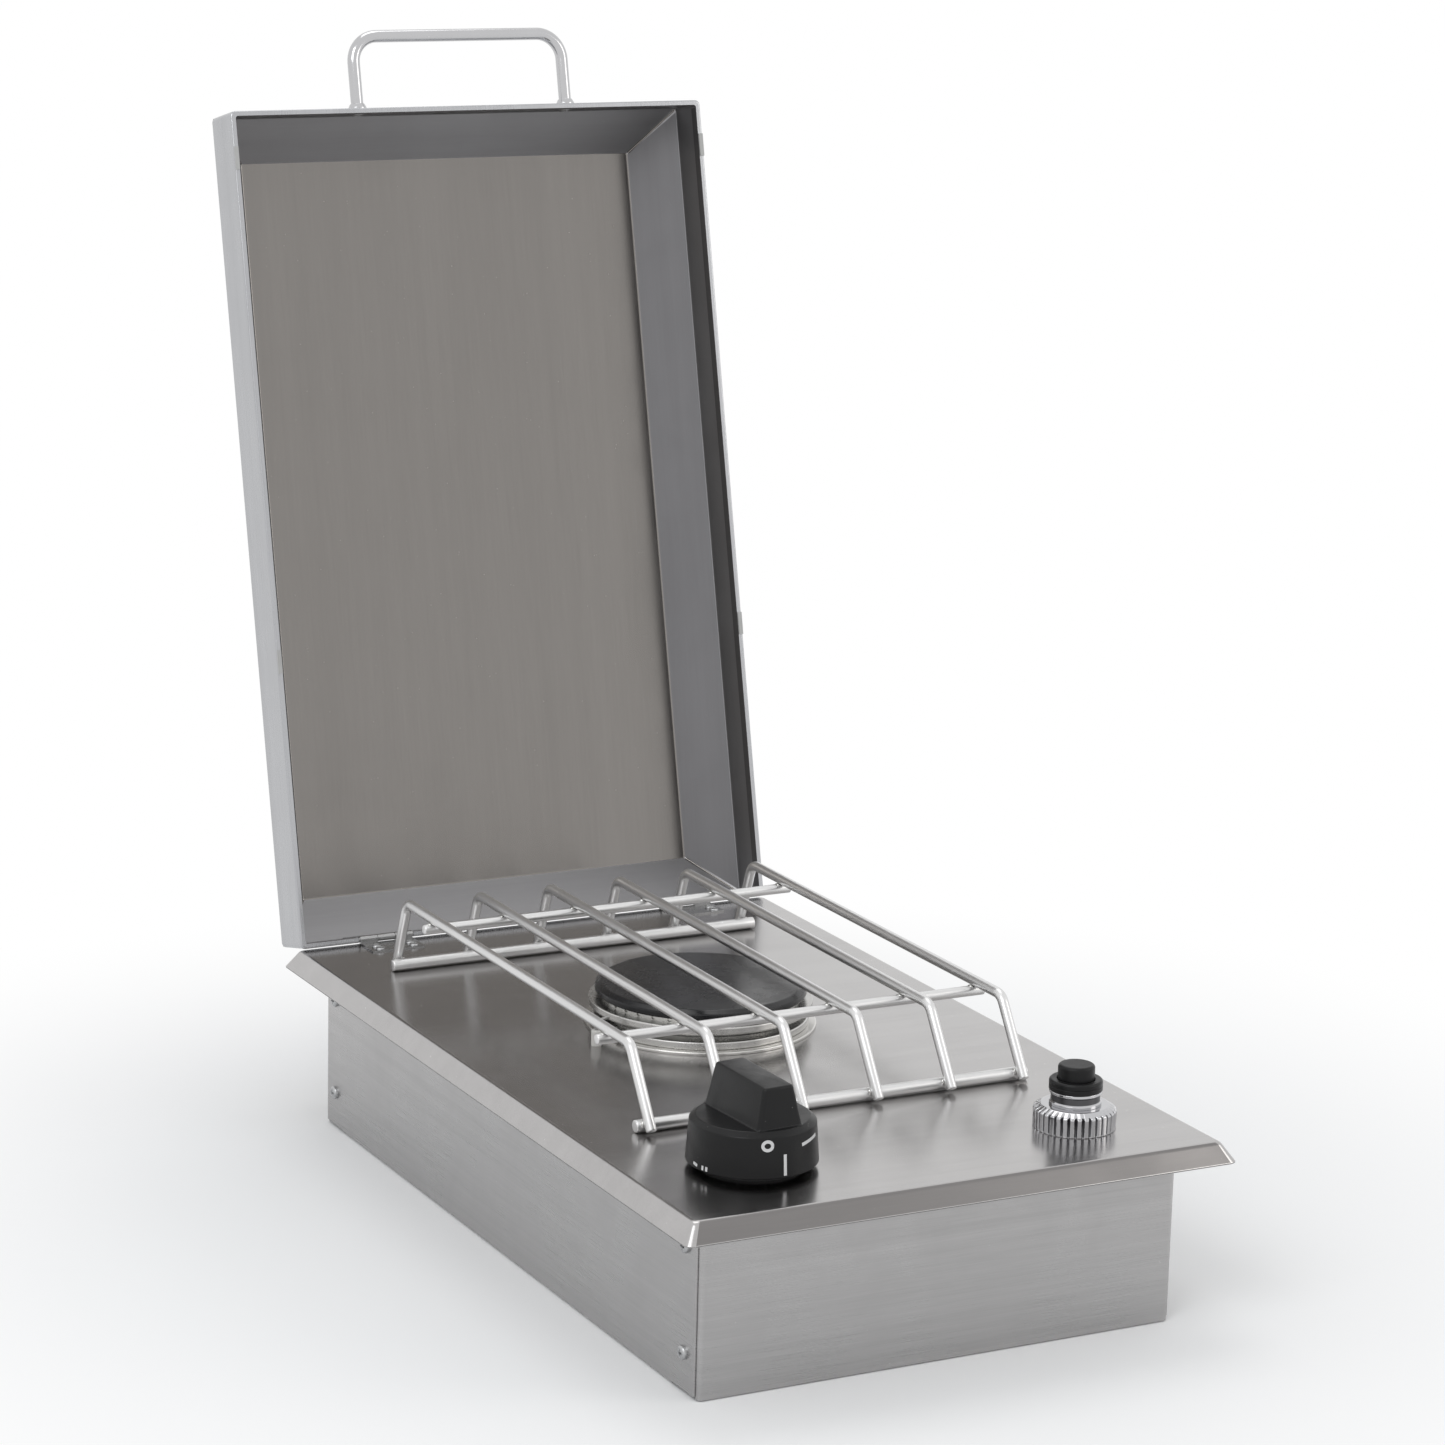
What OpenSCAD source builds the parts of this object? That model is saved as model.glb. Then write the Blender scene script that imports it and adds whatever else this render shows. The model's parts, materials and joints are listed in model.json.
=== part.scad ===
// Drop-in gas side burner: a sheet-steel box that hangs in a counter cut-out by its bevelled deck,
// with one round burner, a wire grate, a control knob, a battery igniter and a deep hinged lid.
// X runs to the right, Y to the back and Z up. The origin is the centre of the underside of the box.

/* [Box and deck] */
// Outside width of the box
box_w = 288; // [270:1:296]
// Outside length of the box, front to back
box_l = 494; // [480:1:500]
// Height of the counter line above the underside of the box
counter_z = 95; // [85:1:120]
// Sheet thickness of the box and the deck
sheet = 1.2; // [0.8:0.1:1.6]
// How far the deck reaches past each side of the box
side_overhang = 21; // [19:1:30]
// How far the deck reaches past the front of the box
front_overhang = 27; // [22:1:40]
// How far the deck reaches past the rear of the box
rear_overhang = 17; // [15:1:24]
// Horizontal run of the bevel round the deck
bevel_run = 7; // [4:0.5:9]
// Height of the bevel round the deck
bevel_h = 11; // [8:0.5:14]
// Corner radius of the deck in plan
deck_corner_r = 5; // [2:1:12]
// Width of the flat return that rests on the counter
return_w = 14; // [8:1:16]
// Width of the folded flanges of the box panels
panel_flange = 12; // [8:1:16]
// Radius of the folded corners of the front and rear panels
fold_r = 3; // [2:0.5:5]
// Depth of the corner returns of the front and rear panels
corner_return = 24; // [18:1:34]

/* [Lid] */
// From each side edge of the deck to the side of the closed lid
lid_side_inset = 7.5; // [7:0.5:14]
// From the front edge of the deck to the front of the closed lid
lid_front_inset = 27.26; // [14:0.01:34]
// Height of the lid's upright skirt
skirt_h = 32; // [26:1:40]
// Rise of the lid's bevel above the skirt
lid_bevel_h = 26; // [20:1:34]
// Inward run of the lid's bevel
lid_bevel_run = 25.5; // [18:0.5:34]
// Sheet thickness of the lid
lid_sheet = 1; // [0.8:0.1:1.4]
// Thickness of the folded hem round the rim
hem_t = 3; // [2.5:0.1:4]
// Depth of the folded hem round the rim
hem_h = 7; // [5:0.5:10]
// Corner radius of the lid in plan
lid_corner_r = 3; // [2:0.5:6]
// How far the open lid leans back from upright
lid_lean = 13.2; // [8:0.1:20]
// Gap between the closed rim and the deck
rim_gap = 1.2; // [1:0.1:2]
// Height of the rubber bumpers under the rim
bumper_h = 0.9; // [0.5:0.1:1]

/* [Hinges] */
// From the rear edge of the deck to the hinge axis
hinge_inset = 8.6; // [8:0.1:10]
// Height of the hinge axis above the closed rim
axis_above_rim = 1.5; // [1.3:0.1:1.6]
// Distance from the hinge axis to the outside of the lid's rear skirt
axis_to_skirt = 1.86; // [1.7:0.01:1.9]
// Width of each hinge
hinge_w = 34; // [28:1:44]
// From each side of the lid to the middle of its hinge
hinge_in = 55.5; // [40:0.5:70]
// Knuckle radius
knuckle_r = 2.2; // [2.1:0.05:2.3]
// Hinge pin radius
hinge_pin_r = 1; // [0.9:0.05:1.1]
// Thickness of the hinge leaves
leaf_t = 1; // [0.8:0.1:1.1]
// Length of the leaf on the deck
base_leaf_l = 18; // [14:1:22]
// Length of the leaf on the lid's skirt
lid_leaf_l = 24; // [18:1:28]

/* [Lid handle] */
// Distance between the two legs of the handle
handle_span = 140; // [110:2:180]
// Distance from the lid to the middle of the bar
handle_reach = 45; // [36:1:52]
// Radius of the handle bar
handle_r = 3.8; // [3:0.1:5]
// Bend radius of the handle
handle_bend_r = 16; // [10:1:20]
// Height of the handle above the closed rim
handle_w = 13; // [11:0.5:18]

/* [Grate] */
// Number of long wires
wire_n = 6; // [4:2:8]
// From the sides of the deck to the outer wires, on average
wire_margin = 50; // [45:0.5:65]
// Sideways offset of the grate
grate_x = -2.8; // [-4:0.1:4]
// Radius of the wires
wire_r = 3; // [2.5:0.1:3.2]
// Height of the wire centres above the deck
grate_h = 43.6; // [38:0.1:46]
// From the front edge of the deck to the front corner of the wires
grate_from_front = 162.5; // [155:0.5:175]
// From the rear edge of the deck to the rear corner of the wires
grate_from_rear = 78; // [72:0.5:90]
// Centre of the bends inside each corner
wire_bend_r = 9; // [6:0.5:12]
// Outward splay of the front legs over their height
front_splay = 29; // [0:1:32]
// Outward splay of the rear legs over their height
rear_splay = 16.5; // [0:0.5:20]
// Radius of the lower cross rods
low_rod_r = 3.5; // [3:0.1:4]
// Radius of the upper cross rods
top_rod_r = 3; // [2.5:0.1:3.5]
// From the front corner of the wires to the front upper cross rod
top_rod_from_front = 29.5; // [16:0.5:50]
// From the rear corner of the wires to the rear upper cross rod
top_rod_from_rear = 37.5; // [20:0.5:56]
// Overhang of the cross rods past the outer wires
rod_overhang = 6; // [4:0.5:8]
// Clearance under the grate at rest
grate_gap = 0.2; // [0.1:0.1:0.4]

/* [Burner] */
// How far the burner stands behind the middle of the deck
burner_back = 40; // [30:1:45]
// Radius of the burner cap
cap_r = 61; // [50:0.5:64]
// Thickness of the burner cap
cap_t = 5.6; // [4:0.1:8]
// Radius of the bright dish of the burner head
head_r = 64.5; // [58:0.5:68]
// Radius of the ported ring
port_ring_r = 57; // [50:0.5:58]
// Number of flame ports
port_n = 36; // [24:2:48]
// Radius of each flame port
port_r = 1.1; // [0.8:0.1:1.4]
// Radius of the trim ring on the deck
trim_r = 67; // [66:0.5:74]
// Height of the trim ring
trim_h = 2; // [1.5:0.1:3]
// Radius of the flange of the burner base
base_r = 62.5; // [58:0.5:66]
// Height of the top of the base flange above the deck
base_top_h = 6.5; // [5:0.5:8]
// Height of the underside of the dish above the deck
dish_h = 9.5; // [8:0.5:11]
// Height of the top of the dish above the deck
dish_top_h = 15.5; // [14:0.5:17]
// Height of the top of the ported ring above the deck
ports_top_h = 18.4; // [17.5:0.1:20]
// Outside radius of the throat under the burner
throat_r = 24; // [20:0.5:28]

/* [Knob and valve] */
// From the left side of the box to the middle of the knob
knob_in = 54; // [50:1:64]
// From the front edge of the deck to the middle of the knob
knob_from_front = 74; // [70:1:84]
// Radius of the knob at its foot
knob_r = 35; // [28:0.5:35]
// Height of the knob's skirt
knob_skirt_h = 24.5; // [18:0.5:26]
// Gap between the knob and the deck
knob_gap = 3.4; // [3.3:0.1:5]
// How far the knob pushes in
knob_push = 3; // [2:0.5:3]
// Height of the grip's front end above the knob's foot
grip_front_h = 46; // [36:0.1:46]
// Height of the grip's rear end above the knob's foot
grip_rear_h = 47; // [38:0.1:47]
// Length of the grip along its top
grip_l = 50; // [40:1:50]
// Width of the grip along its top
grip_w = 18; // [12:0.5:20]
// Angle of the grip from straight ahead
grip_turn = 4; // [0:1:15]
// Radius of the valve stem
stem_r = 4; // [3:0.1:4.2]
// Height of the gas way above the underside of the box
gas_z = 55; // [50:1:60]
// Radius of the valve's body
valve_r = 14; // [12:0.5:15]

/* [Gas inlet] */
// From the left side of the box to the middle of the manifold pipe
pipe_in = 26; // [20:1:30]
// Outside radius of the manifold pipe
pipe_r = 8; // [7.5:0.1:8.4]
// Radius of the inlet's outside thread
inlet_r = 8.57; // [8.5:0.01:10.5]
// Length of the inlet thread beyond the lock nut
inlet_l = 18; // [14:1:24]

/* [Igniter] */
// From the right side of the box to the middle of the igniter
igniter_in = 45; // [36:1:54]
// From the front edge of the deck to the middle of the igniter
igniter_from_front = 61; // [59:1:74]
// Radius of the knurled bezel nut
bezel_r = 22.5; // [18:0.5:22.5]
// Height of the bezel nut
bezel_h = 13; // [8:0.5:13.5]
// Radius of the chrome collar
collar_r = 14.2; // [13:0.1:15]
// Height of the chrome collar
collar_h = 8; // [6:0.5:8.5]
// Radius of the battery cap
igniter_cap_r = 14.5; // [13.5:0.1:16]
// Height of the battery cap
igniter_cap_h = 6; // [5:0.5:8]
// Radius of the push button
button_r = 10; // [8:0.1:10]
// How far the button stands above the battery cap
button_out = 8; // [6:0.5:9]
// Radius of the igniter's threaded barrel
barrel_r = 11; // [10.5:0.1:11.5]

/* [Electrode] */
// From the middle of the burner to the spark electrode, sideways
electrode_out = 75; // [74:1:78]
// How far the spark electrode stands in front of the middle of the burner
electrode_ahead = 18; // [10:1:25]
// Radius of the white ceramic
ceramic_r = 3; // [2.5:0.1:3.5]
// Height of the ceramic above the deck
ceramic_h = 9; // [7:0.5:12]

/* [Fasteners and fits] */
// Shank radius of the screws
screw_r = 2; // [1.5:0.1:2.5]
// Head radius of the screws
screw_head_r = 4; // [3.5:0.1:4.5]
// Head height of the screws
screw_head_h = 2.4; // [1.8:0.1:2.6]
// Radial clearance of a shaft in its bearing
running = 0.05; // [0.02:0.01:0.1]
// Gap between parts that slide or lie next to each other
gap = 0.3; // [0.2:0.05:0.4]

/* [Hidden] */
$fn = 64;
eps = 0.01;
deck_z = counter_z + bevel_h;
under_deck = deck_z - sheet;
deck_w = box_w + 2 * side_overhang;
deck_front = box_l / 2 + front_overhang;
deck_rear = box_l / 2 + rear_overhang;
deck_l = deck_front + deck_rear;
deck_cy = (deck_rear - deck_front) / 2;
deck_lip = sheet / 2;
bevel_rise = bevel_h - deck_lip;
bevel_wall = sheet * norm([bevel_run, bevel_rise]) / bevel_rise;
bevel_low = bevel_run * (sheet - deck_lip) / bevel_rise + bevel_wall;
bevel_high = bevel_run * (bevel_rise - sheet) / bevel_rise + bevel_wall;
panel_top = under_deck;
panel_clear = 4;
side_end = box_l / 2 - fold_r;
front_half = box_w / 2 - sheet;
screw_y = box_l / 2 - 15;
screw_zs = [22, 80];
stud_ys = [-190, -70, 70, 190];
stud_x = box_w / 2 - sheet - panel_flange / 2 - 1;
stud_l = 10;
nut_h = 3.2;
nut_r = 4;
vent_r = 5;
vent_pitch = box_w / 12;
vent_rows = [-0.12, 0.12, 0.26] * box_l;
pan_x = box_w / 2 - panel_flange - 1;
pan_y = box_l / 2 - panel_flange - 1;

hinge_y = deck_rear - hinge_inset;
lid_w = deck_w - 2 * lid_side_inset;
lid_l = hinge_y + axis_to_skirt + deck_front - lid_front_inset;
hinge_x = lid_w / 2 - hinge_in;
rim_z = deck_z + rim_gap;
hinge_z = rim_z + axis_above_rim;
open_angle = 90 + lid_lean;
lid_depth = skirt_h + lid_bevel_h;
lid_y0 = axis_to_skirt - lid_l / 2;
lid_slope = norm([lid_bevel_run, lid_bevel_h]);
lid_inner_skirt = skirt_h - lid_sheet * (lid_slope - lid_bevel_h) / lid_bevel_run;
lid_inner_run = (lid_sheet * lid_slope + lid_bevel_run * (lid_bevel_h - lid_sheet)) / lid_bevel_h - lid_sheet;
knuckle_gap = 0.3;
knuckle_l = (hinge_w - 2 * knuckle_gap) / 3;
pin_bore_r = hinge_pin_r + running;
notch_h = 8;
hinge_screw_r = 1.5;
hinge_screw_ys = [-18, -12];
rivet_r = 1.5;
rivet_ws = [11, 20];
rivet_x = 11;
ferrule_r = 5.6;
ferrule_h = 4;
bumper_l = 14;
bumper_in = 30;
bumper_ys = [bumper_in - lid_l, bumper_in - 0.4 * lid_l];
bumper_play = 0.4;
screw_grip = 10;
through = 60;
handle_face_y = axis_to_skirt - lid_l;

wire_pitch = (deck_w - 2 * wire_margin) / (wire_n - 1);
wire_half = (wire_n - 1) * wire_pitch / 2;
grate_front = grate_from_front - deck_front;
grate_rear = deck_rear - grate_from_rear;
top_rod_front = grate_front + top_rod_from_front;
top_rod_rear = grate_rear - top_rod_from_rear;
rod_half = wire_half + rod_overhang;
weld_sink = 0.2;
leg_lap = 0.2;
leg_step = 0.02;
foot_h = 2.4;
front_angle = atan2(grate_h, front_splay);
rear_angle = atan2(grate_h, rear_splay);
low_rod_h = low_rod_r + grate_gap;
rod_offset = low_rod_r + wire_r - weld_sink;
low_rod_front = grate_front - (grate_h - low_rod_h) / tan(front_angle) + rod_offset / sin(front_angle);
low_rod_rear = grate_rear + (grate_h - low_rod_h) / tan(rear_angle) - rod_offset / sin(rear_angle);
top_rod_h = grate_h - wire_r - top_rod_r + weld_sink;

burner_y = deck_cy + burner_back;
cap_gap = 0.2;
bowl_r = 46;
neck_r = 52;
throat_wall = 3;
base_screw_r = 34;
burner_screw_n = 3;
base_tail = 16;
cap_ring_h = 3;
knob_x = knob_in - box_w / 2;
knob_y = knob_from_front - deck_front;
run = [-knob_x, burner_y - knob_y];
run_angle = atan2(run[1], run[0]);
run_l = norm(run);
venturi_start = 42;
bell_r = 16.9;
tube_r = 12;
tube_wall = 1.5;
cup_wall = 2;
cup_r = throat_r + running + cup_wall;
cup_floor = gas_z - tube_r - 4;
cup_top = under_deck - 5;
shutter_start = 31;

bracket_z = 88;
bracket_t = 1.5;
bracket_half = 31;
bracket_w = 40;
bracket_foot = 12;
valve_screw_y = 14;
valve_floor = 42;
spring_z = bracket_z + bracket_t + 0.2;
spring_h = 8;
spring_wire = 1;
collar_z = spring_z + spring_h + 0.2;
push_collar_h = 2.4;
push_collar_r = 8;
stem_flange_r = 5.5;
stem_flange_h = 1.5;
stem_low = 66;
knob_z = deck_z + knob_gap;
knob_shoulder_r = knob_r - 1.6;
knob_shoulder_h = knob_skirt_h - 2.5;
knob_top_r = knob_r - 5;
knob_wall = 3;
grip_root_l = 2 * knob_top_r;
grip_root_w = grip_w + 9;
hub_r = 8;
stem_top = knob_z + knob_skirt_h - 6;
escutcheon_r = 27;
escutcheon_h = 2;
stem_hole_r = 6.5;

rear_face = box_l / 2;
lock_nut_h = 6;
thread_relief = 0.3;
thread_gap = 0.5;
pipe_x = pipe_in - box_w / 2;
inlet_end = rear_face + lock_nut_h + inlet_l;
inlet_start = rear_face - sheet - 8;
pipe_front = knob_y - 16;
pipe_bore_r = pipe_r - 1.6;

igniter_x = box_w / 2 - igniter_in;
igniter_y = igniter_from_front - deck_front;
collar_ledge = 1;
igniter_top = deck_z + bezel_h + collar_ledge;
igniter_cap_z = deck_z + bezel_h + collar_h;
button_low = igniter_top + 5.4;
cap_lip_h = 3;
cap_inner_r = button_r + 2;
button_flange_r = button_r + 1.5;
barrel_bore_r = 8;
barrel_nut_h = 4;
barrel_low = 52;
web_t = 1;
web_z = igniter_top - 7;
battery_r = 7.2;
battery_l = 50.5;
ig_spring_h = button_low - web_z - web_t - 0.4;
knurl_n = 36;

electrode_x = -electrode_out;
electrode_y = burner_y - electrode_ahead;
electrode_low = deck_z - 16;
rod_tail = 2;
spark_h = 14;
spark_reach = norm([electrode_x, burner_y - electrode_y]) - head_r - 4;
spark_angle = atan2(burner_y - electrode_y, -electrode_x);
spark_r = 1;
lead_r = 1.6;
lead_end = electrode_low - rod_tail - lead_r - gap;
lead_floor = 2 * sheet + lead_r + 1;
lead_turn = 14;
lead_low = 90;
lead_rise = 60;
lead_points = [
    [igniter_x, igniter_y, barrel_low - 2],
    [igniter_x, igniter_y + lead_turn, lead_floor + lead_turn],
    [igniter_x - lead_low / 2, igniter_y + lead_low, lead_floor],
    [electrode_x + lead_rise / 2, electrode_y - lead_rise, lead_floor],
    [electrode_x - lead_turn / 2, electrode_y - lead_turn, lead_floor + 2 * lead_turn],
    [electrode_x, electrode_y, lead_end - 4],
    [electrode_x, electrode_y, lead_end]
];

// ---------- shapes that repeat ----------

// Rectangle with round corners, centred.
module outline(w, l, r) {
    square([w - 2 * r, l], center = true);
    square([w, l - 2 * r], center = true);
    for (x = [-1, 1], y = [-1, 1])
        translate([x * (w / 2 - r), y * (l / 2 - r)])
            circle(r);
}

// Solid block with upright walls up to skirt and a bevel from there to the top face.
module bevelled_block(w, l, r, skirt, rise, inset) {
    hull() {
        linear_extrude(skirt)
            outline(w, l, r, $fn = 32);
        linear_extrude(skirt + rise)
            outline(w - 2 * inset, l - 2 * inset, r, $fn = 32);
    }
}

// A path of points with each corner replaced by two points a quarter of the way along its sides.
function cut_corners(p) = [
    p[0],
    for (i = [0 : len(p) - 2]) each [0.75 * p[i] + 0.25 * p[i + 1], 0.25 * p[i] + 0.75 * p[i + 1]],
    p[len(p) - 1]
];

// Round bar from a to b.
module bar(a, b, r) {
    d = b - a;
    translate(a)
        rotate([0, acos(d[2] / norm(d)), atan2(d[1], d[0])])
            cylinder(r = r, h = norm(d));
}

// Bend of a round bar in the YZ plane about the point [y, z], carried on straight past its far end by leg.
module bend(y, z, bend_r, r, start, sweep, leg) {
    translate([0, y, z])
        rotate([90, 0, 90])
            rotate([0, 0, start]) {
                rotate_extrude(angle = sweep)
                    translate([bend_r, 0])
                        circle(r);
                rotate([0, 0, sweep])
                    translate([bend_r, -leg_lap, 0])
                        rotate([-90, 0, 0])
                            cylinder(r = r - leg_step, h = leg);
            }
}

// Pan-head screw whose head sits on z = 0 and whose shank points down.
module screw(length, r = screw_r, head_r = screw_head_r, head_h = screw_head_h) {
    translate([0, 0, -length])
        cylinder(r = r, h = length + eps);
    rotate_extrude()
        polygon([[0, 0], [head_r, 0], [head_r, head_h * 0.45], [head_r * 0.75, head_h * 0.9],
                 [head_r * 0.3, head_h], [0, head_h]]);
}

// Square-wire coil spring standing on z = 0: a half ring of wire, turned as it rises.
module coil_spring(outer_r, wire, height, turns) {
    rise = height - wire;
    linear_extrude(height = rise, twist = -360 * turns, slices = round(14 * turns), $fn = 14)
        intersection() {
            difference() {
                circle(outer_r, $fn = 14);
                circle(outer_r - wire, $fn = 14);
            }
            translate([-outer_r, 0])
                square([2 * outer_r, outer_r]);
        }
}

// Places its children in the frame of the lid: closed, with its hinge axis along X at the origin.
module on_lid() {
    translate([0, hinge_y, hinge_z])
        rotate([-open_angle, 0, 0])
            children();
}

module at_knob(z) {
    translate([knob_x, knob_y, z])
        children();
}

module at_igniter(z) {
    translate([igniter_x, igniter_y, z])
        children();
}

module at_burner(h) {
    translate([0, burner_y, deck_z + h])
        children();
}

// Places its children along the gas way that runs from the valve to the burner, at a distance from the valve.
module on_gas_way(distance) {
    translate([knob_x, knob_y, gas_z])
        rotate([0, 0, run_angle])
            translate([distance, 0, 0])
                rotate([0, 90, 0])
                    children();
}

// ---------- deck and box ----------

module deck_holes() {
    hole_h = 3 * sheet;
    translate([0, 0, deck_z - 2 * sheet]) {
        translate([0, burner_y])
            cylinder(r = throat_r + 2.5, h = hole_h);
        for (i = [0 : burner_screw_n - 1])
            translate([0, burner_y])
                rotate([0, 0, 120 * i + 30])
                    translate([base_screw_r, 0])
                        cylinder(r = screw_r + running, h = hole_h);
        translate([knob_x, knob_y])
            cylinder(r = stem_hole_r, h = hole_h);
        translate([igniter_x, igniter_y])
            cylinder(r = barrel_r + running, h = hole_h);
        translate([electrode_x, electrode_y])
            cylinder(r = ceramic_r + gap, h = hole_h);
        for (x = [-1, 1], y = hinge_screw_ys, s = [-1, 1])
            translate([x * hinge_x + s * rivet_x, hinge_y + y])
                cylinder(r = hinge_screw_r + running, h = hole_h);
    }
}

module deck_plate() {
    color("silver")
        difference() {
            translate([0, deck_cy, counter_z])
                difference() {
                    bevelled_block(deck_w, deck_l, deck_corner_r, deck_lip, bevel_rise, bevel_run);
                    translate([0, 0, -eps])
                        linear_extrude(sheet + 2 * eps)
                            outline(deck_w - 2 * return_w, deck_l - 2 * return_w, deck_corner_r);
                    translate([0, 0, sheet])
                        bevelled_block(deck_w - 2 * bevel_low, deck_l - 2 * bevel_low, deck_corner_r,
                                       eps, bevel_h - 2 * sheet - eps, bevel_high - bevel_low);
                }
            deck_holes();
        }
}

// Front panel, standing at y = -box_l / 2: a face, two folded corner returns and two narrow flanges.
module end_panel(holes) {
    flange_half = front_half - corner_return - 2;
    difference() {
        union() {
            intersection() {
                translate([-front_half, -box_l / 2, 0])
                    cube([2 * front_half, corner_return, panel_top]);
                difference() {
                    linear_extrude(panel_top)
                        outline(2 * front_half, box_l, fold_r);
                    translate([0, 0, -eps])
                        linear_extrude(panel_top + 2 * eps)
                            outline(2 * front_half - 2 * sheet, box_l - 2 * sheet, fold_r - sheet);
                    for (x = [-1, 1], z = [0, panel_top - panel_clear])
                        translate([x * (front_half - 0.5), -box_l / 2 + fold_r + corner_return / 2, z + panel_clear / 2])
                            cube([5, corner_return, panel_clear + eps], center = true);
                }
            }
            for (z = [0, panel_top - sheet])
                translate([-flange_half, -box_l / 2 + eps, z])
                    cube([2 * flange_half, panel_flange, sheet]);
        }
        for (x = [-1, 1], z = screw_zs)
            translate([x * box_w / 2, -screw_y, z])
                rotate([0, 90, 0])
                    cylinder(r = screw_r + running, h = 20, center = true);
        if (holes) {
            translate([-pipe_x, -box_l / 2, gas_z])
                rotate([90, 0, 0])
                    cylinder(r = inlet_r + running, h = 10, center = true);
            for (x = [-1, 1], y = hinge_screw_ys, s = [-1, 1])
                translate([x * hinge_x + s * rivet_x, -(hinge_y + y), panel_top])
                    cylinder(r = hinge_screw_r + running, h = 4 * sheet, center = true);
        }
    }
}

module front_panel() {
    color("gainsboro")
        end_panel(false);
}

module rear_panel() {
    color("gainsboro")
        rotate([0, 0, 180])
            end_panel(true);
}

// Side panel at x = +box_w / 2, with top and bottom flanges folded inwards.
module side_panel() {
    flange_half = box_l / 2 - corner_return - 4;
    difference() {
        union() {
            translate([box_w / 2 - sheet, -side_end, 0])
                cube([sheet, 2 * side_end, panel_top]);
            for (z = [0, panel_top - sheet])
                translate([box_w / 2 - panel_flange, -flange_half, z])
                    cube([panel_flange, 2 * flange_half, sheet]);
        }
        for (y = [-1, 1], z = screw_zs)
            translate([box_w / 2, y * screw_y, z])
                rotate([0, 90, 0])
                    cylinder(r = screw_r + running, h = 20, center = true);
        for (y = stud_ys)
            translate([stud_x, y, panel_top])
                cylinder(r = screw_r + running, h = 4 * sheet, center = true);
    }
}

module left_side_panel() {
    color("gainsboro")
        mirror([1, 0, 0])
            side_panel();
}

module right_side_panel() {
    color("gainsboro")
        side_panel();
}

module bottom_panel() {
    side = box_w - 2 * sheet - 2 * gap;
    length = box_l - 2 * sheet - 2 * gap;
    color("lightgray")
        difference() {
            union() {
                translate([-side / 2, -length / 2, sheet])
                    cube([side, length, sheet]);
                translate([-pan_x, -pan_y, 0])
                    cube([2 * pan_x, 2 * pan_y, 2 * sheet]);
            }
            translate([sheet - pan_x, sheet - pan_y, sheet])
                cube([2 * (pan_x - sheet), 2 * (pan_y - sheet), 2 * sheet]);
            for (i = [-2 : 2], y = vent_rows)
                translate([i * vent_pitch, y, 0])
                    cylinder(r = vent_r, h = 4 * sheet);
        }
}

module panel_screws() {
    color("silver")
        for (x = [-1, 1], y = [-1, 1], z = screw_zs)
            translate([x * box_w / 2, y * screw_y, z])
                rotate([0, 90 * x, 0])
                    screw(8);
}

module deck_studs() {
    color("silver")
        for (x = [-1, 1], y = stud_ys)
            translate([x * stud_x, y, panel_top - stud_l])
                cylinder(r = screw_r, h = stud_l);
}

module deck_nuts() {
    color("silver")
        for (x = [-1, 1], y = stud_ys)
            translate([x * stud_x, y, panel_top - sheet - nut_h])
                difference() {
                    cylinder(r = nut_r, h = nut_h, $fn = 6);
                    translate([0, 0, -1])
                        cylinder(r = screw_r, h = nut_h + 2);
                }
}

// ---------- burner ----------

module burner_trim_ring() {
    color("whitesmoke")
        at_burner(0)
            rotate_extrude()
                polygon([[40, 0], [trim_r, 0], [trim_r, trim_h * 0.4], [trim_r - 1.2, trim_h], [40, trim_h]]);
}

module burner_base() {
    tail_z = -base_tail;
    color("silver")
        at_burner(0)
            difference() {
                union() {
                    translate([0, 0, trim_h])
                        cylinder(r = base_r, h = base_top_h - trim_h);
                    translate([0, 0, tail_z])
                        cylinder(r = throat_r, h = base_top_h - tail_z);
                }
                translate([0, 0, tail_z - 1])
                    cylinder(r = throat_r - throat_wall, h = base_top_h - tail_z + 2);
                for (i = [0 : burner_screw_n - 1])
                    rotate([0, 0, 120 * i + 30])
                        translate([base_screw_r, 0, 0])
                            cylinder(r = screw_r + running, h = through);
            }
}

module burner_head() {
    port_z = (dish_top_h + ports_top_h) / 2;
    color("silver")
        at_burner(0)
            difference() {
                rotate_extrude()
                    polygon([[throat_r - throat_wall, base_top_h], [neck_r, base_top_h], [neck_r, dish_h],
                             [head_r - 2.5, dish_h], [head_r, dish_h + 2.2], [head_r, dish_top_h - 0.8],
                             [head_r - 0.8, dish_top_h], [port_ring_r, dish_top_h], [port_ring_r, ports_top_h],
                             [bowl_r, ports_top_h], [bowl_r, dish_h], [throat_r - throat_wall, dish_h]]);
                for (i = [0 : port_n - 1])
                    rotate([0, 0, 360 * i / port_n])
                        translate([bowl_r - 2, 0, port_z])
                            rotate([0, 90, 0])
                                cylinder(r = port_r, h = port_ring_r - bowl_r + 4, $fn = 24);
                for (i = [0 : burner_screw_n - 1])
                    rotate([0, 0, 120 * i + 30])
                        translate([base_screw_r, 0, 0])
                            cylinder(r = screw_r + running, h = through);
            }
}

module burner_screws() {
    color("silver")
        for (i = [0 : burner_screw_n - 1])
            at_burner(dish_h)
                rotate([0, 0, 120 * i + 30])
                    translate([base_screw_r, 0, 0])
                        screw(dish_h + 6);
}

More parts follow.
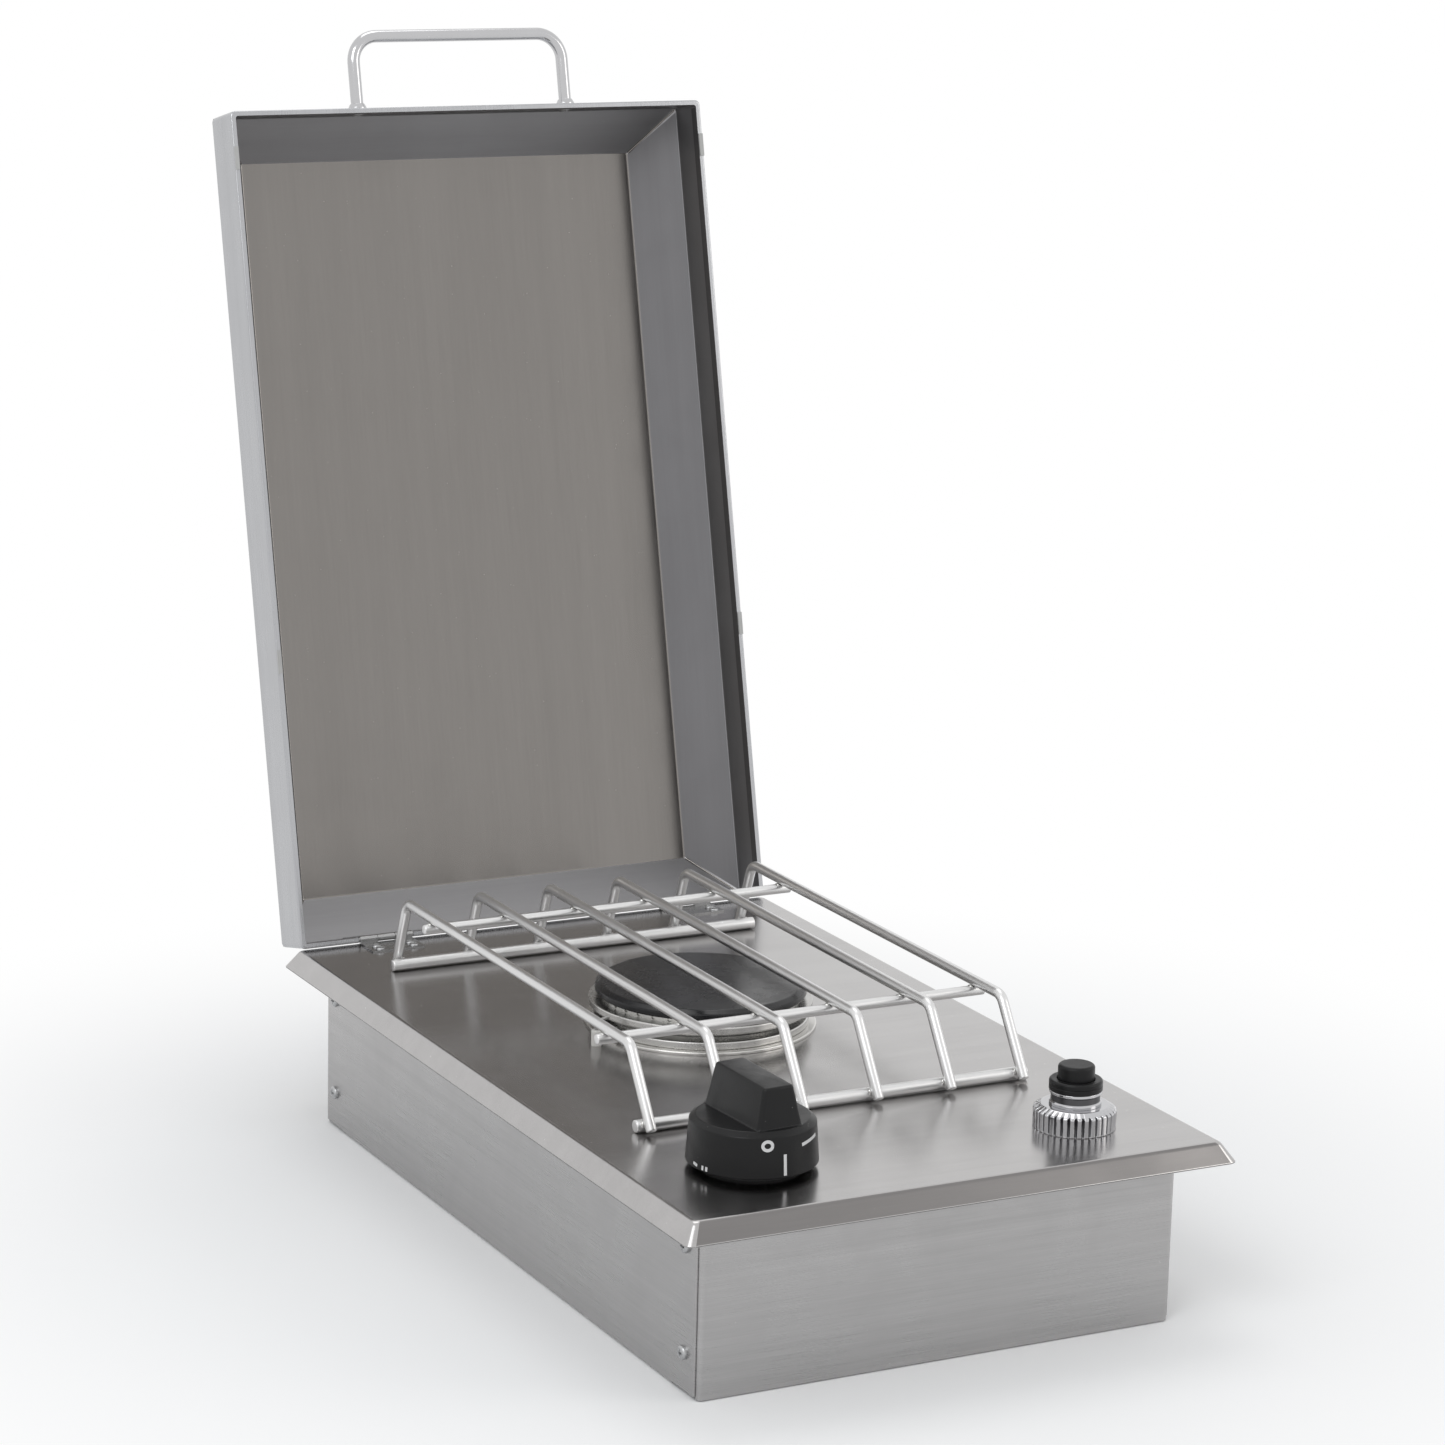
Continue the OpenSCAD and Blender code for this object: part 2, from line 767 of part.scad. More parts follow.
module burner_cap() {
    low = ports_top_h + cap_gap;
    color("black")
        at_burner(low)
            rotate_extrude($fn = 96)
                polygon([[0, 0], [bowl_r - 5, 0], [bowl_r - 5, -cap_ring_h], [bowl_r - 1, -cap_ring_h],
                         [bowl_r - 1, 0], [cap_r - 1, 0], [cap_r, 1], [cap_r, cap_t - 2.2],
                         [cap_r - 1.2, cap_t - 0.7], [cap_r - 3.5, cap_t], [0, cap_t]]);
}

// ---------- gas way ----------

module venturi_tube() {
    bore = tube_r - tube_wall;
    color("gray")
        difference() {
            union() {
                on_gas_way(venturi_start)
                    cylinder(r = bell_r, h = 16);
                on_gas_way(venturi_start + 16)
                    cylinder(r1 = bell_r, r2 = tube_r, h = 14);
                on_gas_way(venturi_start + 30)
                    cylinder(r = tube_r, h = run_l - venturi_start - 30);
                translate([0, burner_y, cup_floor])
                    cylinder(r = cup_r, h = cup_top - cup_floor);
            }
            on_gas_way(venturi_start - eps)
                cylinder(r1 = bell_r - tube_wall, r2 = bore, h = 26);
            on_gas_way(venturi_start + 25)
                cylinder(r = bore, h = run_l - venturi_start - 25);
            translate([0, burner_y, cup_floor + cup_wall])
                cylinder(r = throat_r + running, h = cup_top - cup_floor);
        }
}

module air_shutter() {
    sleeve_l = 20;
    color("silver")
        on_gas_way(shutter_start)
            difference() {
                cylinder(r = bell_r + sheet + running, h = sleeve_l);
                translate([0, 0, sheet])
                    cylinder(r = bell_r + running, h = sleeve_l);
                translate([0, 0, -1])
                    cylinder(r = 6, h = 4);
                for (a = [0, 120, 240])
                    rotate([0, 0, a])
                        translate([bell_r - 4, -7, sheet + 1])
                            cube([8, 14, 8]);
            }
}

module gas_valve_body() {
    outlet_l = 24;
    color("goldenrod")
        difference() {
            union() {
                at_knob(valve_floor)
                    cylinder(r = valve_r, h = bracket_z - valve_floor);
                at_knob(bracket_z - 4)
                    cube([18, 2 * valve_screw_y + 8, 8], center = true);
                on_gas_way(0)
                    cylinder(r = 7, h = outlet_l);
                translate([pipe_x + pipe_r - 2, knob_y, gas_z])
                    rotate([0, 90, 0])
                        cylinder(r = 5, h = knob_x - pipe_x - pipe_r + 2);
            }
            at_knob(stem_low - knob_push - 2)
                cylinder(r = stem_r + running, h = bracket_z);
            on_gas_way(0)
                cylinder(r = 2.5, h = outlet_l + 1);
            translate([pipe_x, knob_y, gas_z])
                rotate([0, 90, 0])
                    cylinder(r = 2.5, h = knob_x - pipe_x);
            for (y = [-1, 1])
                at_knob(bracket_z)
                    translate([0, y * valve_screw_y, 0])
                        cylinder(r = screw_r, h = 12, center = true);
        }
}

module gas_orifice() {
    color("goldenrod")
        on_gas_way(24)
            difference() {
                union() {
                    cylinder(r = 6, h = 5, $fn = 6);
                    cylinder(r = 4, h = 12);
                }
                translate([0, 0, -1])
                    cylinder(r = 0.6, h = 20, $fn = 24);
                translate([0, 0, -1])
                    cylinder(r = 2.2, h = 10);
            }
}

module valve_bracket() {
    leg_h = under_deck - bracket_z;
    color("lightgray")
        at_knob(bracket_z)
            difference() {
                union() {
                    translate([-bracket_half, -bracket_w / 2, 0])
                        cube([2 * bracket_half, bracket_w, bracket_t]);
                    for (x = [0, 1])
                        mirror([x, 0, 0]) {
                            translate([bracket_half - bracket_t, -bracket_w / 2, 0])
                                cube([bracket_t, bracket_w, leg_h]);
                            translate([bracket_half - bracket_t, -bracket_w / 2, leg_h - bracket_t])
                                cube([bracket_foot, bracket_w, bracket_t]);
                        }
                }
                cylinder(r = stem_r + gap, h = 10, center = true);
                for (y = [-1, 1])
                    translate([0, y * valve_screw_y, 0])
                        cylinder(r = screw_r + running, h = 10, center = true);
            }
}

module valve_screws() {
    color("silver")
        for (y = [-1, 1])
            at_knob(bracket_z + bracket_t)
                translate([0, y * valve_screw_y, 0])
                    screw(7);
}

module valve_spring() {
    color("lightgray")
        at_knob(spring_z)
            coil_spring(7, spring_wire, spring_h + spring_wire, 3);
}

module valve_push_collar() {
    color("goldenrod")
        at_knob(collar_z)
            difference() {
                cylinder(r = push_collar_r, h = push_collar_h);
                translate([0, 0, -1])
                    cylinder(r = stem_r + running, h = 10);
            }
}

module valve_stem() {
    color("goldenrod") {
        at_knob(stem_low)
            cylinder(r = stem_r, h = stem_top - stem_low);
        at_knob(collar_z + push_collar_h + 0.1)
            cylinder(r = stem_flange_r, h = stem_flange_h);
    }
}

module manifold_pipe() {
    pipe_end = inlet_start - 2;
    color("gray")
        difference() {
            translate([pipe_x, pipe_front, gas_z])
                rotate([-90, 0, 0])
                    cylinder(r = pipe_r, h = pipe_end - pipe_front);
            translate([pipe_x, pipe_front + 3, gas_z])
                rotate([-90, 0, 0])
                    cylinder(r = pipe_bore_r, h = pipe_end - pipe_front);
            translate([pipe_x, knob_y, gas_z])
                rotate([0, 90, 0])
                    cylinder(r = 5, h = through);
        }
}

module gas_inlet_fitting() {
    color("goldenrod")
        translate([pipe_x, inlet_start, gas_z])
            rotate([-90, 0, 0])
                difference() {
                    union() {
                        translate([0, 0, 8])
                            cylinder(r = inlet_r - thread_relief, h = inlet_end - inlet_start - 8 - eps);
                        translate([0, 0, rear_face + lock_nut_h + thread_gap - inlet_start])
                            cylinder(r = inlet_r, h = inlet_l - thread_gap);
                        cylinder(r = 13, h = 8, $fn = 6);
                        translate([0, 0, -12])
                            cylinder(r = pipe_bore_r, h = 12 + eps);
                    }
                    translate([0, 0, -13])
                        cylinder(r = 4.5, h = through);
                }
}

module inlet_lock_nut() {
    color("goldenrod")
        translate([pipe_x, rear_face, gas_z])
            rotate([-90, 0, 0])
                difference() {
                    cylinder(r = 14, h = lock_nut_h, $fn = 6);
                    translate([0, 0, -1])
                        cylinder(r = inlet_r - thread_relief, h = lock_nut_h + 2);
                }
}

// ---------- knob ----------

module knob_escutcheon() {
    color("dimgray")
        at_knob(deck_z)
            difference() {
                cylinder(r = escutcheon_r, h = escutcheon_h);
                translate([0, 0, -1])
                    cylinder(r = stem_hole_r, h = 10);
            }
}

// Bar grip: a wedge a little lower at the front, whose four sides flare out to a broad root on the skirt.
module grip() {
    root = knob_skirt_h - knob_wall;
    post_r = 2.5;
    rotate([0, 0, grip_turn])
        hull() {
            for (x = [-1, 1]) {
                translate([x * (grip_w / 2 - post_r), -(grip_l / 2 - post_r), root])
                    cylinder(r = post_r, h = grip_front_h - root, $fn = 32);
                translate([x * (grip_w / 2 - post_r), grip_l / 2 - post_r, root])
                    cylinder(r = post_r, h = grip_rear_h - root, $fn = 32);
                for (y = [-1, 1])
                    translate([x * (grip_root_w / 2 - post_r), y * (grip_root_l / 2 - 2 * post_r), root])
                        cylinder(r = post_r, h = knob_wall, $fn = 32);
            }
        }
}

module knob() {
    color("black")
        at_knob(knob_z)
            difference() {
                union() {
                    rotate_extrude($fn = 96)
                        polygon([[knob_r - knob_wall, 0], [knob_r - 0.6, 0], [knob_r, 0.6],
                                 [knob_shoulder_r, knob_shoulder_h], [knob_top_r, knob_skirt_h], [0, knob_skirt_h],
                                 [0, knob_skirt_h - knob_wall], [knob_top_r - 2, knob_skirt_h - knob_wall],
                                 [knob_shoulder_r - knob_wall, knob_shoulder_h - 2]]);
                    translate([0, 0, escutcheon_h + 0.6])
                        cylinder(r = hub_r, h = knob_skirt_h - 4);
                    grip();
                }
                translate([0, 0, -1])
                    cylinder(r = stem_r, h = stem_top - knob_z + 1.5);
            }
}

// ---------- igniter ----------

module igniter_bezel_nut() {
    notch_r = 0.9;
    color("whitesmoke")
        at_igniter(deck_z)
            difference() {
                rotate_extrude()
                    polygon([[barrel_r + running, 0], [bezel_r, 0], [bezel_r, bezel_h - 1.6],
                             [bezel_r - 1.6, bezel_h], [barrel_r + running, bezel_h]]);
                for (i = [0 : knurl_n - 1])
                    rotate([0, 0, 360 * i / knurl_n])
                        translate([bezel_r + 0.3, 0, -1])
                            cylinder(r = notch_r, h = bezel_h + 2, $fn = 16);
            }
}

module igniter_collar() {
    color("whitesmoke")
        at_igniter(deck_z + bezel_h)
            difference() {
                cylinder(r = collar_r, h = collar_h);
                translate([0, 0, -1])
                    cylinder(r = barrel_r + running, h = collar_h + 2);
                translate([0, 0, collar_ledge])
                    cylinder(r = cap_inner_r, h = collar_h);
            }
}

module igniter_housing() {
    color("dimgray")
        at_igniter(0)
            difference() {
                union() {
                    translate([0, 0, barrel_low])
                        cylinder(r = barrel_r, h = igniter_top - barrel_low);
                    translate([0, 0, under_deck - barrel_nut_h])
                        cylinder(r = barrel_r + 5, h = barrel_nut_h);
                }
                translate([0, 0, barrel_low + 2])
                    cylinder(r = barrel_bore_r, h = web_z - barrel_low - 2);
                translate([0, 0, web_z + web_t])
                    cylinder(r = barrel_bore_r, h = through);
            }
}

module igniter_battery() {
    color("royalblue")
        at_igniter(web_z - battery_l - 0.5) {
            cylinder(r = battery_r, h = battery_l - 1.5);
            cylinder(r = 2.7, h = battery_l);
        }
}

module igniter_battery_cap() {
    color("black")
        at_igniter(igniter_cap_z)
            difference() {
                rotate_extrude()
                    polygon([[button_r + gap, 0], [igniter_cap_r, 0], [igniter_cap_r, igniter_cap_h - 1.5],
                             [igniter_cap_r - 1.5, igniter_cap_h], [button_r + gap, igniter_cap_h]]);
                translate([0, 0, -1])
                    cylinder(r = cap_inner_r, h = igniter_cap_h - cap_lip_h + 1);
            }
}

module igniter_spring() {
    color("lightgray")
        at_igniter(web_z + 1.2)
            coil_spring(7.2, 1, ig_spring_h + 0.6, 4);
}

module igniter_button() {
    cap_top = igniter_cap_z + igniter_cap_h;
    flange_h = cap_top - cap_lip_h - 0.4 - button_low;
    shaft_h = cap_top + button_out - button_low;
    color("black")
        at_igniter(button_low) {
            cylinder(r = button_flange_r, h = flange_h);
            rotate_extrude()
                polygon([[0, 0], [button_r, 0], [button_r, shaft_h - 1.8], [button_r - 0.6, shaft_h - 0.6],
                         [button_r - 2, shaft_h], [0, shaft_h]]);
        }
}

// The insulated wire from the igniter to the electrode, with its corners cut twice to round them.
module ignition_lead() {
    path = cut_corners(cut_corners(lead_points));
    color("black")
        for (i = [0 : len(path) - 2])
            hull() {
                translate(path[i])
                    sphere(lead_r, $fn = 10);
                translate(path[i + 1])
                    sphere(lead_r, $fn = 10);
            }
}

module electrode_ceramic() {
    color("white")
        translate([electrode_x, electrode_y, electrode_low])
            difference() {
                union() {
                    cylinder(r = ceramic_r, h = deck_z + ceramic_h - electrode_low);
                    translate([0, 0, under_deck - sheet - 4 - electrode_low])
                        cylinder(r = ceramic_r + 2, h = 4);
                }
                translate([0, 0, -1])
                    cylinder(r = spark_r, h = through);
            }
}

module electrode_rod() {
    top = [electrode_x, electrode_y, deck_z + spark_h];
    tip = top + spark_reach * [cos(spark_angle), sin(spark_angle), 0.1];
    color("silver") {
        bar([electrode_x, electrode_y, electrode_low - rod_tail], top, spark_r);
        translate(top)
            sphere(spark_r + 0.2, $fn = 32);
        bar(top, tip, spark_r);
    }
}

module electrode_bracket() {
    color("silver")
        translate([electrode_x, electrode_y, under_deck - sheet])
            difference() {
                translate([-18, -7, 0])
                    cube([26, 14, sheet]);
                cylinder(r = ceramic_r + running, h = 10, center = true);
            }
}

// ---------- hinges ----------

module knuckle(first, length) {
    translate([first - hinge_w / 2, 0, 0])
        rotate([0, 90, 0])
            cylinder(r = knuckle_r, h = length);
}

module pin_bore() {
    rotate([0, 90, 0])
        cylinder(r = pin_bore_r, h = hinge_w + 4, center = true);
}

// Leaf on the deck with the two outer knuckles. Origin on the hinge axis.
module base_leaf() {
    deck = deck_z - hinge_z;
    plate_end = -knuckle_r - 0.8;
    difference() {
        union() {
            translate([-hinge_w / 2, plate_end - base_leaf_l, deck])
                cube([hinge_w, base_leaf_l, leaf_t]);
            for (x = [0, 1])
                mirror([x, 0, 0]) {
                    knuckle(0, knuckle_l);
                    translate([-hinge_w / 2, plate_end - eps, deck])
                        cube([knuckle_l, -plate_end, leaf_t]);
                    translate([-hinge_w / 2, -knuckle_r, deck])
                        cube([knuckle_l, knuckle_r - pin_bore_r, -deck]);
                }
        }
        pin_bore();
        for (x = [-1, 1], y = hinge_screw_ys)
            translate([x * rivet_x, y, deck])
                cylinder(r = hinge_screw_r + running, h = 10, center = true);
    }
}

// Leaf inside the lid's rear skirt with the middle knuckle, in the frame of the lid.
module lid_leaf() {
    face = axis_to_skirt - lid_sheet;
    leaf_z = knuckle_r + 0.9;
    difference() {
        union() {
            knuckle(knuckle_l + knuckle_gap, knuckle_l);
            translate([-knuckle_l / 2, face - leaf_t, 0])
                cube([knuckle_l, leaf_t, leaf_z + 1]);
            translate([-hinge_w / 2, face - leaf_t, leaf_z])
                cube([hinge_w, leaf_t, lid_leaf_l]);
        }
        pin_bore();
        for (x = [-1, 1], w = rivet_ws)
            translate([x * rivet_x, 0, w - axis_above_rim])
                rotate([90, 0, 0])
                    cylinder(r = rivet_r, h = 20, center = true);
    }
}

module left_hinge_base_leaf() {
    color("silver")
        translate([-hinge_x, hinge_y, hinge_z])
            base_leaf();
}

module right_hinge_base_leaf() {
    color("silver")
        translate([hinge_x, hinge_y, hinge_z])
            base_leaf();
}

module left_hinge_lid_leaf() {
    color("silver")
        on_lid()
            translate([-hinge_x, 0, 0])
                lid_leaf();
}

module right_hinge_lid_leaf() {
    color("silver")
        on_lid()
            translate([hinge_x, 0, 0])
                lid_leaf();
}

module hinge_pins() {
    color("silver")
        for (x = [-1, 1])
            translate([x * hinge_x, hinge_y, hinge_z])
                rotate([0, 90, 0]) {
                    cylinder(r = hinge_pin_r, h = hinge_w + 1, center = true);
                    for (end = [-1, 1])
                        translate([0, 0, end * (hinge_w / 2 + 0.4)])
                            cylinder(r = hinge_pin_r + 0.6, h = 0.7, center = true);
                }
}

module hinge_screws() {
    color("silver")
        for (x = [-1, 1], y = hinge_screw_ys, s = [-1, 1])
            translate([x * hinge_x + s * rivet_x, hinge_y + y, deck_z + leaf_t])
                screw(6, hinge_screw_r, 2.8, 1.4);
}

module lid_rivets() {
    color("silver")
        on_lid()
            for (x = [-1, 1], w = rivet_ws, s = [-1, 1])
                translate([x * hinge_x + s * rivet_x, axis_to_skirt, w - axis_above_rim])
                    rotate([-90, 0, 0])
                        screw(lid_sheet + leaf_t + 1.2, rivet_r, 2.6, 1);
}

// ---------- lid ----------

// The lid's sheet in the frame of the lid: skirt, bevel, top panel and folded hem.
module lid_pressing() {
    inner_w = lid_w - 2 * lid_sheet;
    inner_l = lid_l - 2 * lid_sheet;
    translate([0, lid_y0, -axis_above_rim]) {
        difference() {
            bevelled_block(lid_w, lid_l, lid_corner_r, skirt_h, lid_bevel_h, lid_bevel_run);
            translate([0, 0, -1])
                bevelled_block(inner_w, inner_l, lid_corner_r - lid_sheet, lid_inner_skirt + 1,
                               lid_depth - lid_sheet - lid_inner_skirt, lid_inner_run);
        }
        linear_extrude(lid_sheet)
            difference() {
                outline(lid_w, lid_l, lid_corner_r);
                outline(lid_w - 2 * hem_t, lid_l - 2 * hem_t, eps);
            }
        linear_extrude(hem_h)
            difference() {
                outline(lid_w - 2 * hem_t + 2 * lid_sheet, lid_l - 2 * hem_t + 2 * lid_sheet, eps);
                outline(lid_w - 2 * hem_t, lid_l - 2 * hem_t, eps);
            }
    }
}

module lid_shell() {
    notch_w = hinge_w + 2;
    color("silver")
        on_lid()
            difference() {
                lid_pressing();
                for (x = [-1, 1]) {
                    translate([x * hinge_x - notch_w / 2, axis_to_skirt - hem_t - 1, -axis_above_rim - 1])
                        cube([notch_w, hem_t + 2, notch_h + 1]);
                    for (w = rivet_ws, s = [-1, 1])
                        translate([x * hinge_x + s * rivet_x, axis_to_skirt, w - axis_above_rim])
                            rotate([90, 0, 0])
                                cylinder(r = rivet_r, h = 8, center = true);
                }
                for (x = [-1, 1])
                    translate([x * handle_span / 2, handle_face_y, handle_w - axis_above_rim])
                        rotate([90, 0, 0])
                            cylinder(r = screw_r + running, h = 8, center = true);
            }
}

module lid_handle() {
    half = handle_span / 2;
    bar_y = handle_face_y - handle_reach;
    leg_start = handle_face_y - ferrule_h;
    straight = half - handle_bend_r;
    color("silver")
        on_lid()
            translate([0, 0, handle_w - axis_above_rim])
                difference() {
                    union() {
                        bar([-straight - eps, bar_y, 0], [straight + eps, bar_y, 0], handle_r);
                        for (x = [0, 1])
                            mirror([x, 0, 0]) {
                                translate([straight, bar_y + handle_bend_r, 0])
                                    rotate([0, 0, -90])
                                        rotate_extrude(angle = 90)
                                            translate([handle_bend_r, 0])
                                                circle(handle_r);
                                bar([half, bar_y + handle_bend_r - eps, 0], [half, leg_start, 0], handle_r);
                            }
                    }
                    for (x = [-1, 1])
                        translate([x * half, leg_start + eps, 0])
                            rotate([90, 0, 0])
                                cylinder(r = screw_r, h = 14);
                }
}

module handle_ferrules() {
    color("silver")
        on_lid()
            for (x = [-1, 1])
                translate([x * handle_span / 2, handle_face_y, handle_w - axis_above_rim])
                    rotate([90, 0, 0])
                        rotate_extrude()
                            polygon([[screw_r + running, 0], [ferrule_r, 0], [ferrule_r, 1.6],
                                     [handle_r + 0.6, ferrule_h], [screw_r + running, ferrule_h]]);
}

module handle_screws() {
    color("silver")
        on_lid()
            for (x = [-1, 1])
                translate([x * handle_span / 2, handle_face_y + lid_sheet, handle_w - axis_above_rim])
                    rotate([-90, 0, 0])
                        screw(ferrule_h + lid_sheet + screw_grip);
}

module lid_bumpers() {
    color("lightgray")
        on_lid()
            for (x = [-1, 1], y = bumper_ys)
                translate([x * (lid_w / 2 - hem_t / 2), y, -axis_above_rim - bumper_h / 2])
                    cube([hem_t - bumper_play, bumper_l, bumper_h], center = true);
}

// ---------- grate ----------

// Front half of a long wire, from y = 0: a flat run, a bend and a splayed leg.
module half_wire(corner, angle) {
    tangent = wire_bend_r * tan(angle / 2);
    leg = (grate_h - foot_h) / sin(angle) - tangent + leg_lap;
    bar([0, corner + tangent - eps, grate_h], [0, eps, grate_h], wire_r);
    bend(corner + tangent, grate_h - wire_bend_r, wire_bend_r, wire_r, 90, angle, leg);
}

module grate_wire(i) {
    color("silver")
        translate([grate_x + (i - 1) * wire_pitch - wire_half, 0, deck_z]) {
            half_wire(grate_front, front_angle);
            rotate([0, 0, 180])
                half_wire(-grate_rear, rear_angle);
        }
}

module cross_rod(y, h, r) {
    translate([grate_x, y, deck_z + h])
        rotate([0, 90, 0])
            cylinder(r = r, h = 2 * rod_half, center = true);
}

module grate_lower_rods() {
    color("silver") {
        cross_rod(low_rod_front, low_rod_h, low_rod_r);
        cross_rod(low_rod_rear, low_rod_h, low_rod_r);
    }
}

module grate_upper_rods() {
    color("silver") {
        cross_rod(top_rod_front, top_rod_h, top_rod_r);
        cross_rod(top_rod_rear, top_rod_h, top_rod_r);
    }
}

// ---------- the assembly ----------

deck_plate();
front_panel();
rear_panel();
left_side_panel();
right_side_panel();
bottom_panel();
panel_screws();
deck_studs();
deck_nuts();
burner_trim_ring();
burner_base();
burner_head();
burner_screws();
burner_cap();
venturi_tube();
air_shutter();
gas_valve_body();
gas_orifice();
valve_bracket();
valve_screws();
valve_spring();
valve_push_collar();
valve_stem();
knob_escutcheon();
knob();
manifold_pipe();
gas_inlet_fitting();
inlet_lock_nut();
igniter_bezel_nut();
igniter_collar();
igniter_housing();
igniter_battery();
igniter_battery_cap();
igniter_spring();
igniter_button();
ignition_lead();
electrode_ceramic();
electrode_rod();
electrode_bracket();
left_hinge_base_leaf();
right_hinge_base_leaf();
left_hinge_lid_leaf();
right_hinge_lid_leaf();
hinge_pins();
hinge_screws();
lid_rivets();
lid_shell();
lid_handle();
handle_ferrules();
handle_screws();
lid_bumpers();
grate_wire(1);  // grate_wire_1
grate_wire(2);  // grate_wire_2
grate_wire(3);  // grate_wire_3
grate_wire(4);  // grate_wire_4
grate_wire(5);  // grate_wire_5
grate_wire(6);  // grate_wire_6
grate_lower_rods();
grate_upper_rods();
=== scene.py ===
import json
import math
import bmesh
import bpy
import numpy as np
from mathutils import Matrix, Vector
from mathutils.geometry import delaunay_2d_cdt


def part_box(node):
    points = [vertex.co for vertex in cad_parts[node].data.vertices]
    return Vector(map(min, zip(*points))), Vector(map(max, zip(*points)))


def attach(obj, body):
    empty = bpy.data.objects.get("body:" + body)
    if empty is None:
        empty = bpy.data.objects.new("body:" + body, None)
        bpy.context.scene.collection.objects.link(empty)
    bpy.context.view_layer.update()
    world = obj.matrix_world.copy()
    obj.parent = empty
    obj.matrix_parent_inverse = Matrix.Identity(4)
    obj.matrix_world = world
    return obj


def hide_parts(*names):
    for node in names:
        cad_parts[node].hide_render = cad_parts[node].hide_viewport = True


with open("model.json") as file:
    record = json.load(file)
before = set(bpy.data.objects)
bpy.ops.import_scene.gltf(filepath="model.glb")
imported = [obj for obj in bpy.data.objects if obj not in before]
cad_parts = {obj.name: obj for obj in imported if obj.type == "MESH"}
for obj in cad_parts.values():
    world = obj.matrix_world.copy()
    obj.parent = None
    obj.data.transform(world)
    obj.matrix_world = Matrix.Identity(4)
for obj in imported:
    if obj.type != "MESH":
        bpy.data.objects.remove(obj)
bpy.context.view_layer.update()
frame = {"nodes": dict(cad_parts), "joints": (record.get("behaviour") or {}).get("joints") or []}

# ---------- camera ----------
# A long lens stands a little to the left of the front and just above the open deck, and is level to within
# two degrees. It is turned by yaw, pitch and roll, and its place is the last column of its matrix, in metres.
yaw, pitch, roll = math.radians(28.001), math.radians(13.552), math.radians(1.507)
ahead = Vector((math.sin(yaw) * math.cos(pitch), math.cos(yaw) * math.cos(pitch), -math.sin(pitch)))
level = Vector((math.cos(yaw), -math.sin(yaw), 0.0))
over = level.cross(ahead)
right = level * math.cos(roll) + over * math.sin(roll)
upward = over * math.cos(roll) - level * math.sin(roll)
lens = bpy.data.cameras.new("camera")
lens.sensor_width = 36.0
lens.lens = 110.53
lens.shift_x = -0.01496
lens.shift_y = 0.01135
lens.clip_start = 0.05
lens.clip_end = 50.0
camera = bpy.data.objects.new("camera", lens)
camera.matrix_world = Matrix((
    (right.x, upward.x, -ahead.x, -1.12850),
    (right.y, upward.y, -ahead.y, -2.13225),
    (right.z, upward.z, -ahead.z, 0.86236),
    (0.0, 0.0, 0.0, 1.0)))
bpy.context.scene.collection.objects.link(camera)
bpy.context.scene.camera = camera

# ---------- deck ----------
# The deck is one pressing of 1.2 mm stainless sheet: a flat top, a bevel folded down all round and a narrow
# return that rests on the counter. The throat, stem, igniter and electrode holes are punched through it.


def eased(corners, radii, steps, closed=False, hold=0.3):
    """A line with its corners rounded: each arc's centre lies on the bisector at r / sin(half the corner's
    angle), and its points swing evenly from one side to the other. A point is held on each side just before
    and just after the arc, so that the flats beside it stay flat."""
    p = np.asarray(corners, float)
    r = np.broadcast_to(np.asarray(radii, float), (len(p),))
    t = np.linspace(0.0, 1.0, steps + 1)[:, None]
    line = []
    for i in range(len(p)):
        if r[i] == 0 or (not closed and i in (0, len(p) - 1)):
            line.append(p[i][None])
            continue
        u = p[i - 1] - p[i]
        v = p[(i + 1) % len(p)] - p[i]
        u = u / np.linalg.norm(u)
        v = v / np.linalg.norm(v)
        half = 0.5 * np.arccos(np.clip(u @ v, -1.0, 1.0))
        reach = r[i] / np.tan(half)
        centre = p[i] + (u + v) / np.linalg.norm(u + v) * r[i] / np.sin(half)
        a = p[i] + u * reach - centre
        b = p[i] + v * reach - centre
        swing = np.pi - 2 * half
        line.append((p[i] + u * (reach + hold))[None])
        line.append(centre + (np.sin((1 - t) * swing) * a + np.sin(t * swing) * b) / np.sin(swing))
        line.append((p[i] + v * (reach + hold))[None])
    return np.concatenate(line)


def lofted(grid, along=False, caps=False, paint=0):
    """Quads between the neighbouring rows of a grid of points, each row joined end to start. 'along' joins
    the last row to the first, 'caps' closes both with one face each, and 'paint' numbers their finishes."""
    grid = np.asarray(grid, float)
    m, n = grid.shape[:2]
    row = np.arange(m if along else m - 1)[:, None]
    column = np.arange(n)[None, :]
    next_row = (row + 1) % m
    next_column = (column + 1) % n
    corners = [row * n + column, row * n + next_column, next_row * n + next_column, next_row * n + column]
    faces = np.stack(corners, -1).reshape(-1, 4).tolist()
    if caps:
        faces.append(list(range(n))[::-1])
        faces.append(list(range((m - 1) * n, m * n)))
    return grid.reshape(-1, 3), faces, paint


def rectangle(half_x, half_y, r, z, middle=(0.0, 0.0), steps=6):
    """One level ring: a rectangle whose corners are quarter circles of radius r, counter-clockwise."""
    a = np.linspace(0.0, np.pi / 2, steps + 1)
    quarter = np.stack([np.cos(a), np.sin(a)], -1) * r
    signs = np.array([[1, 1], [-1, 1], [-1, -1], [1, -1]])
    turns = [np.array([[1, 0], [0, 1]]), np.array([[0, -1], [1, 0]]),
             np.array([[-1, 0], [0, -1]]), np.array([[0, 1], [-1, 0]])]
    corners = [quarter @ turns[k].T + signs[k] * [half_x - r, half_y - r] for k in range(4)]
    xy = np.concatenate(corners) + middle
    return np.column_stack([xy, np.full(len(xy), z)])


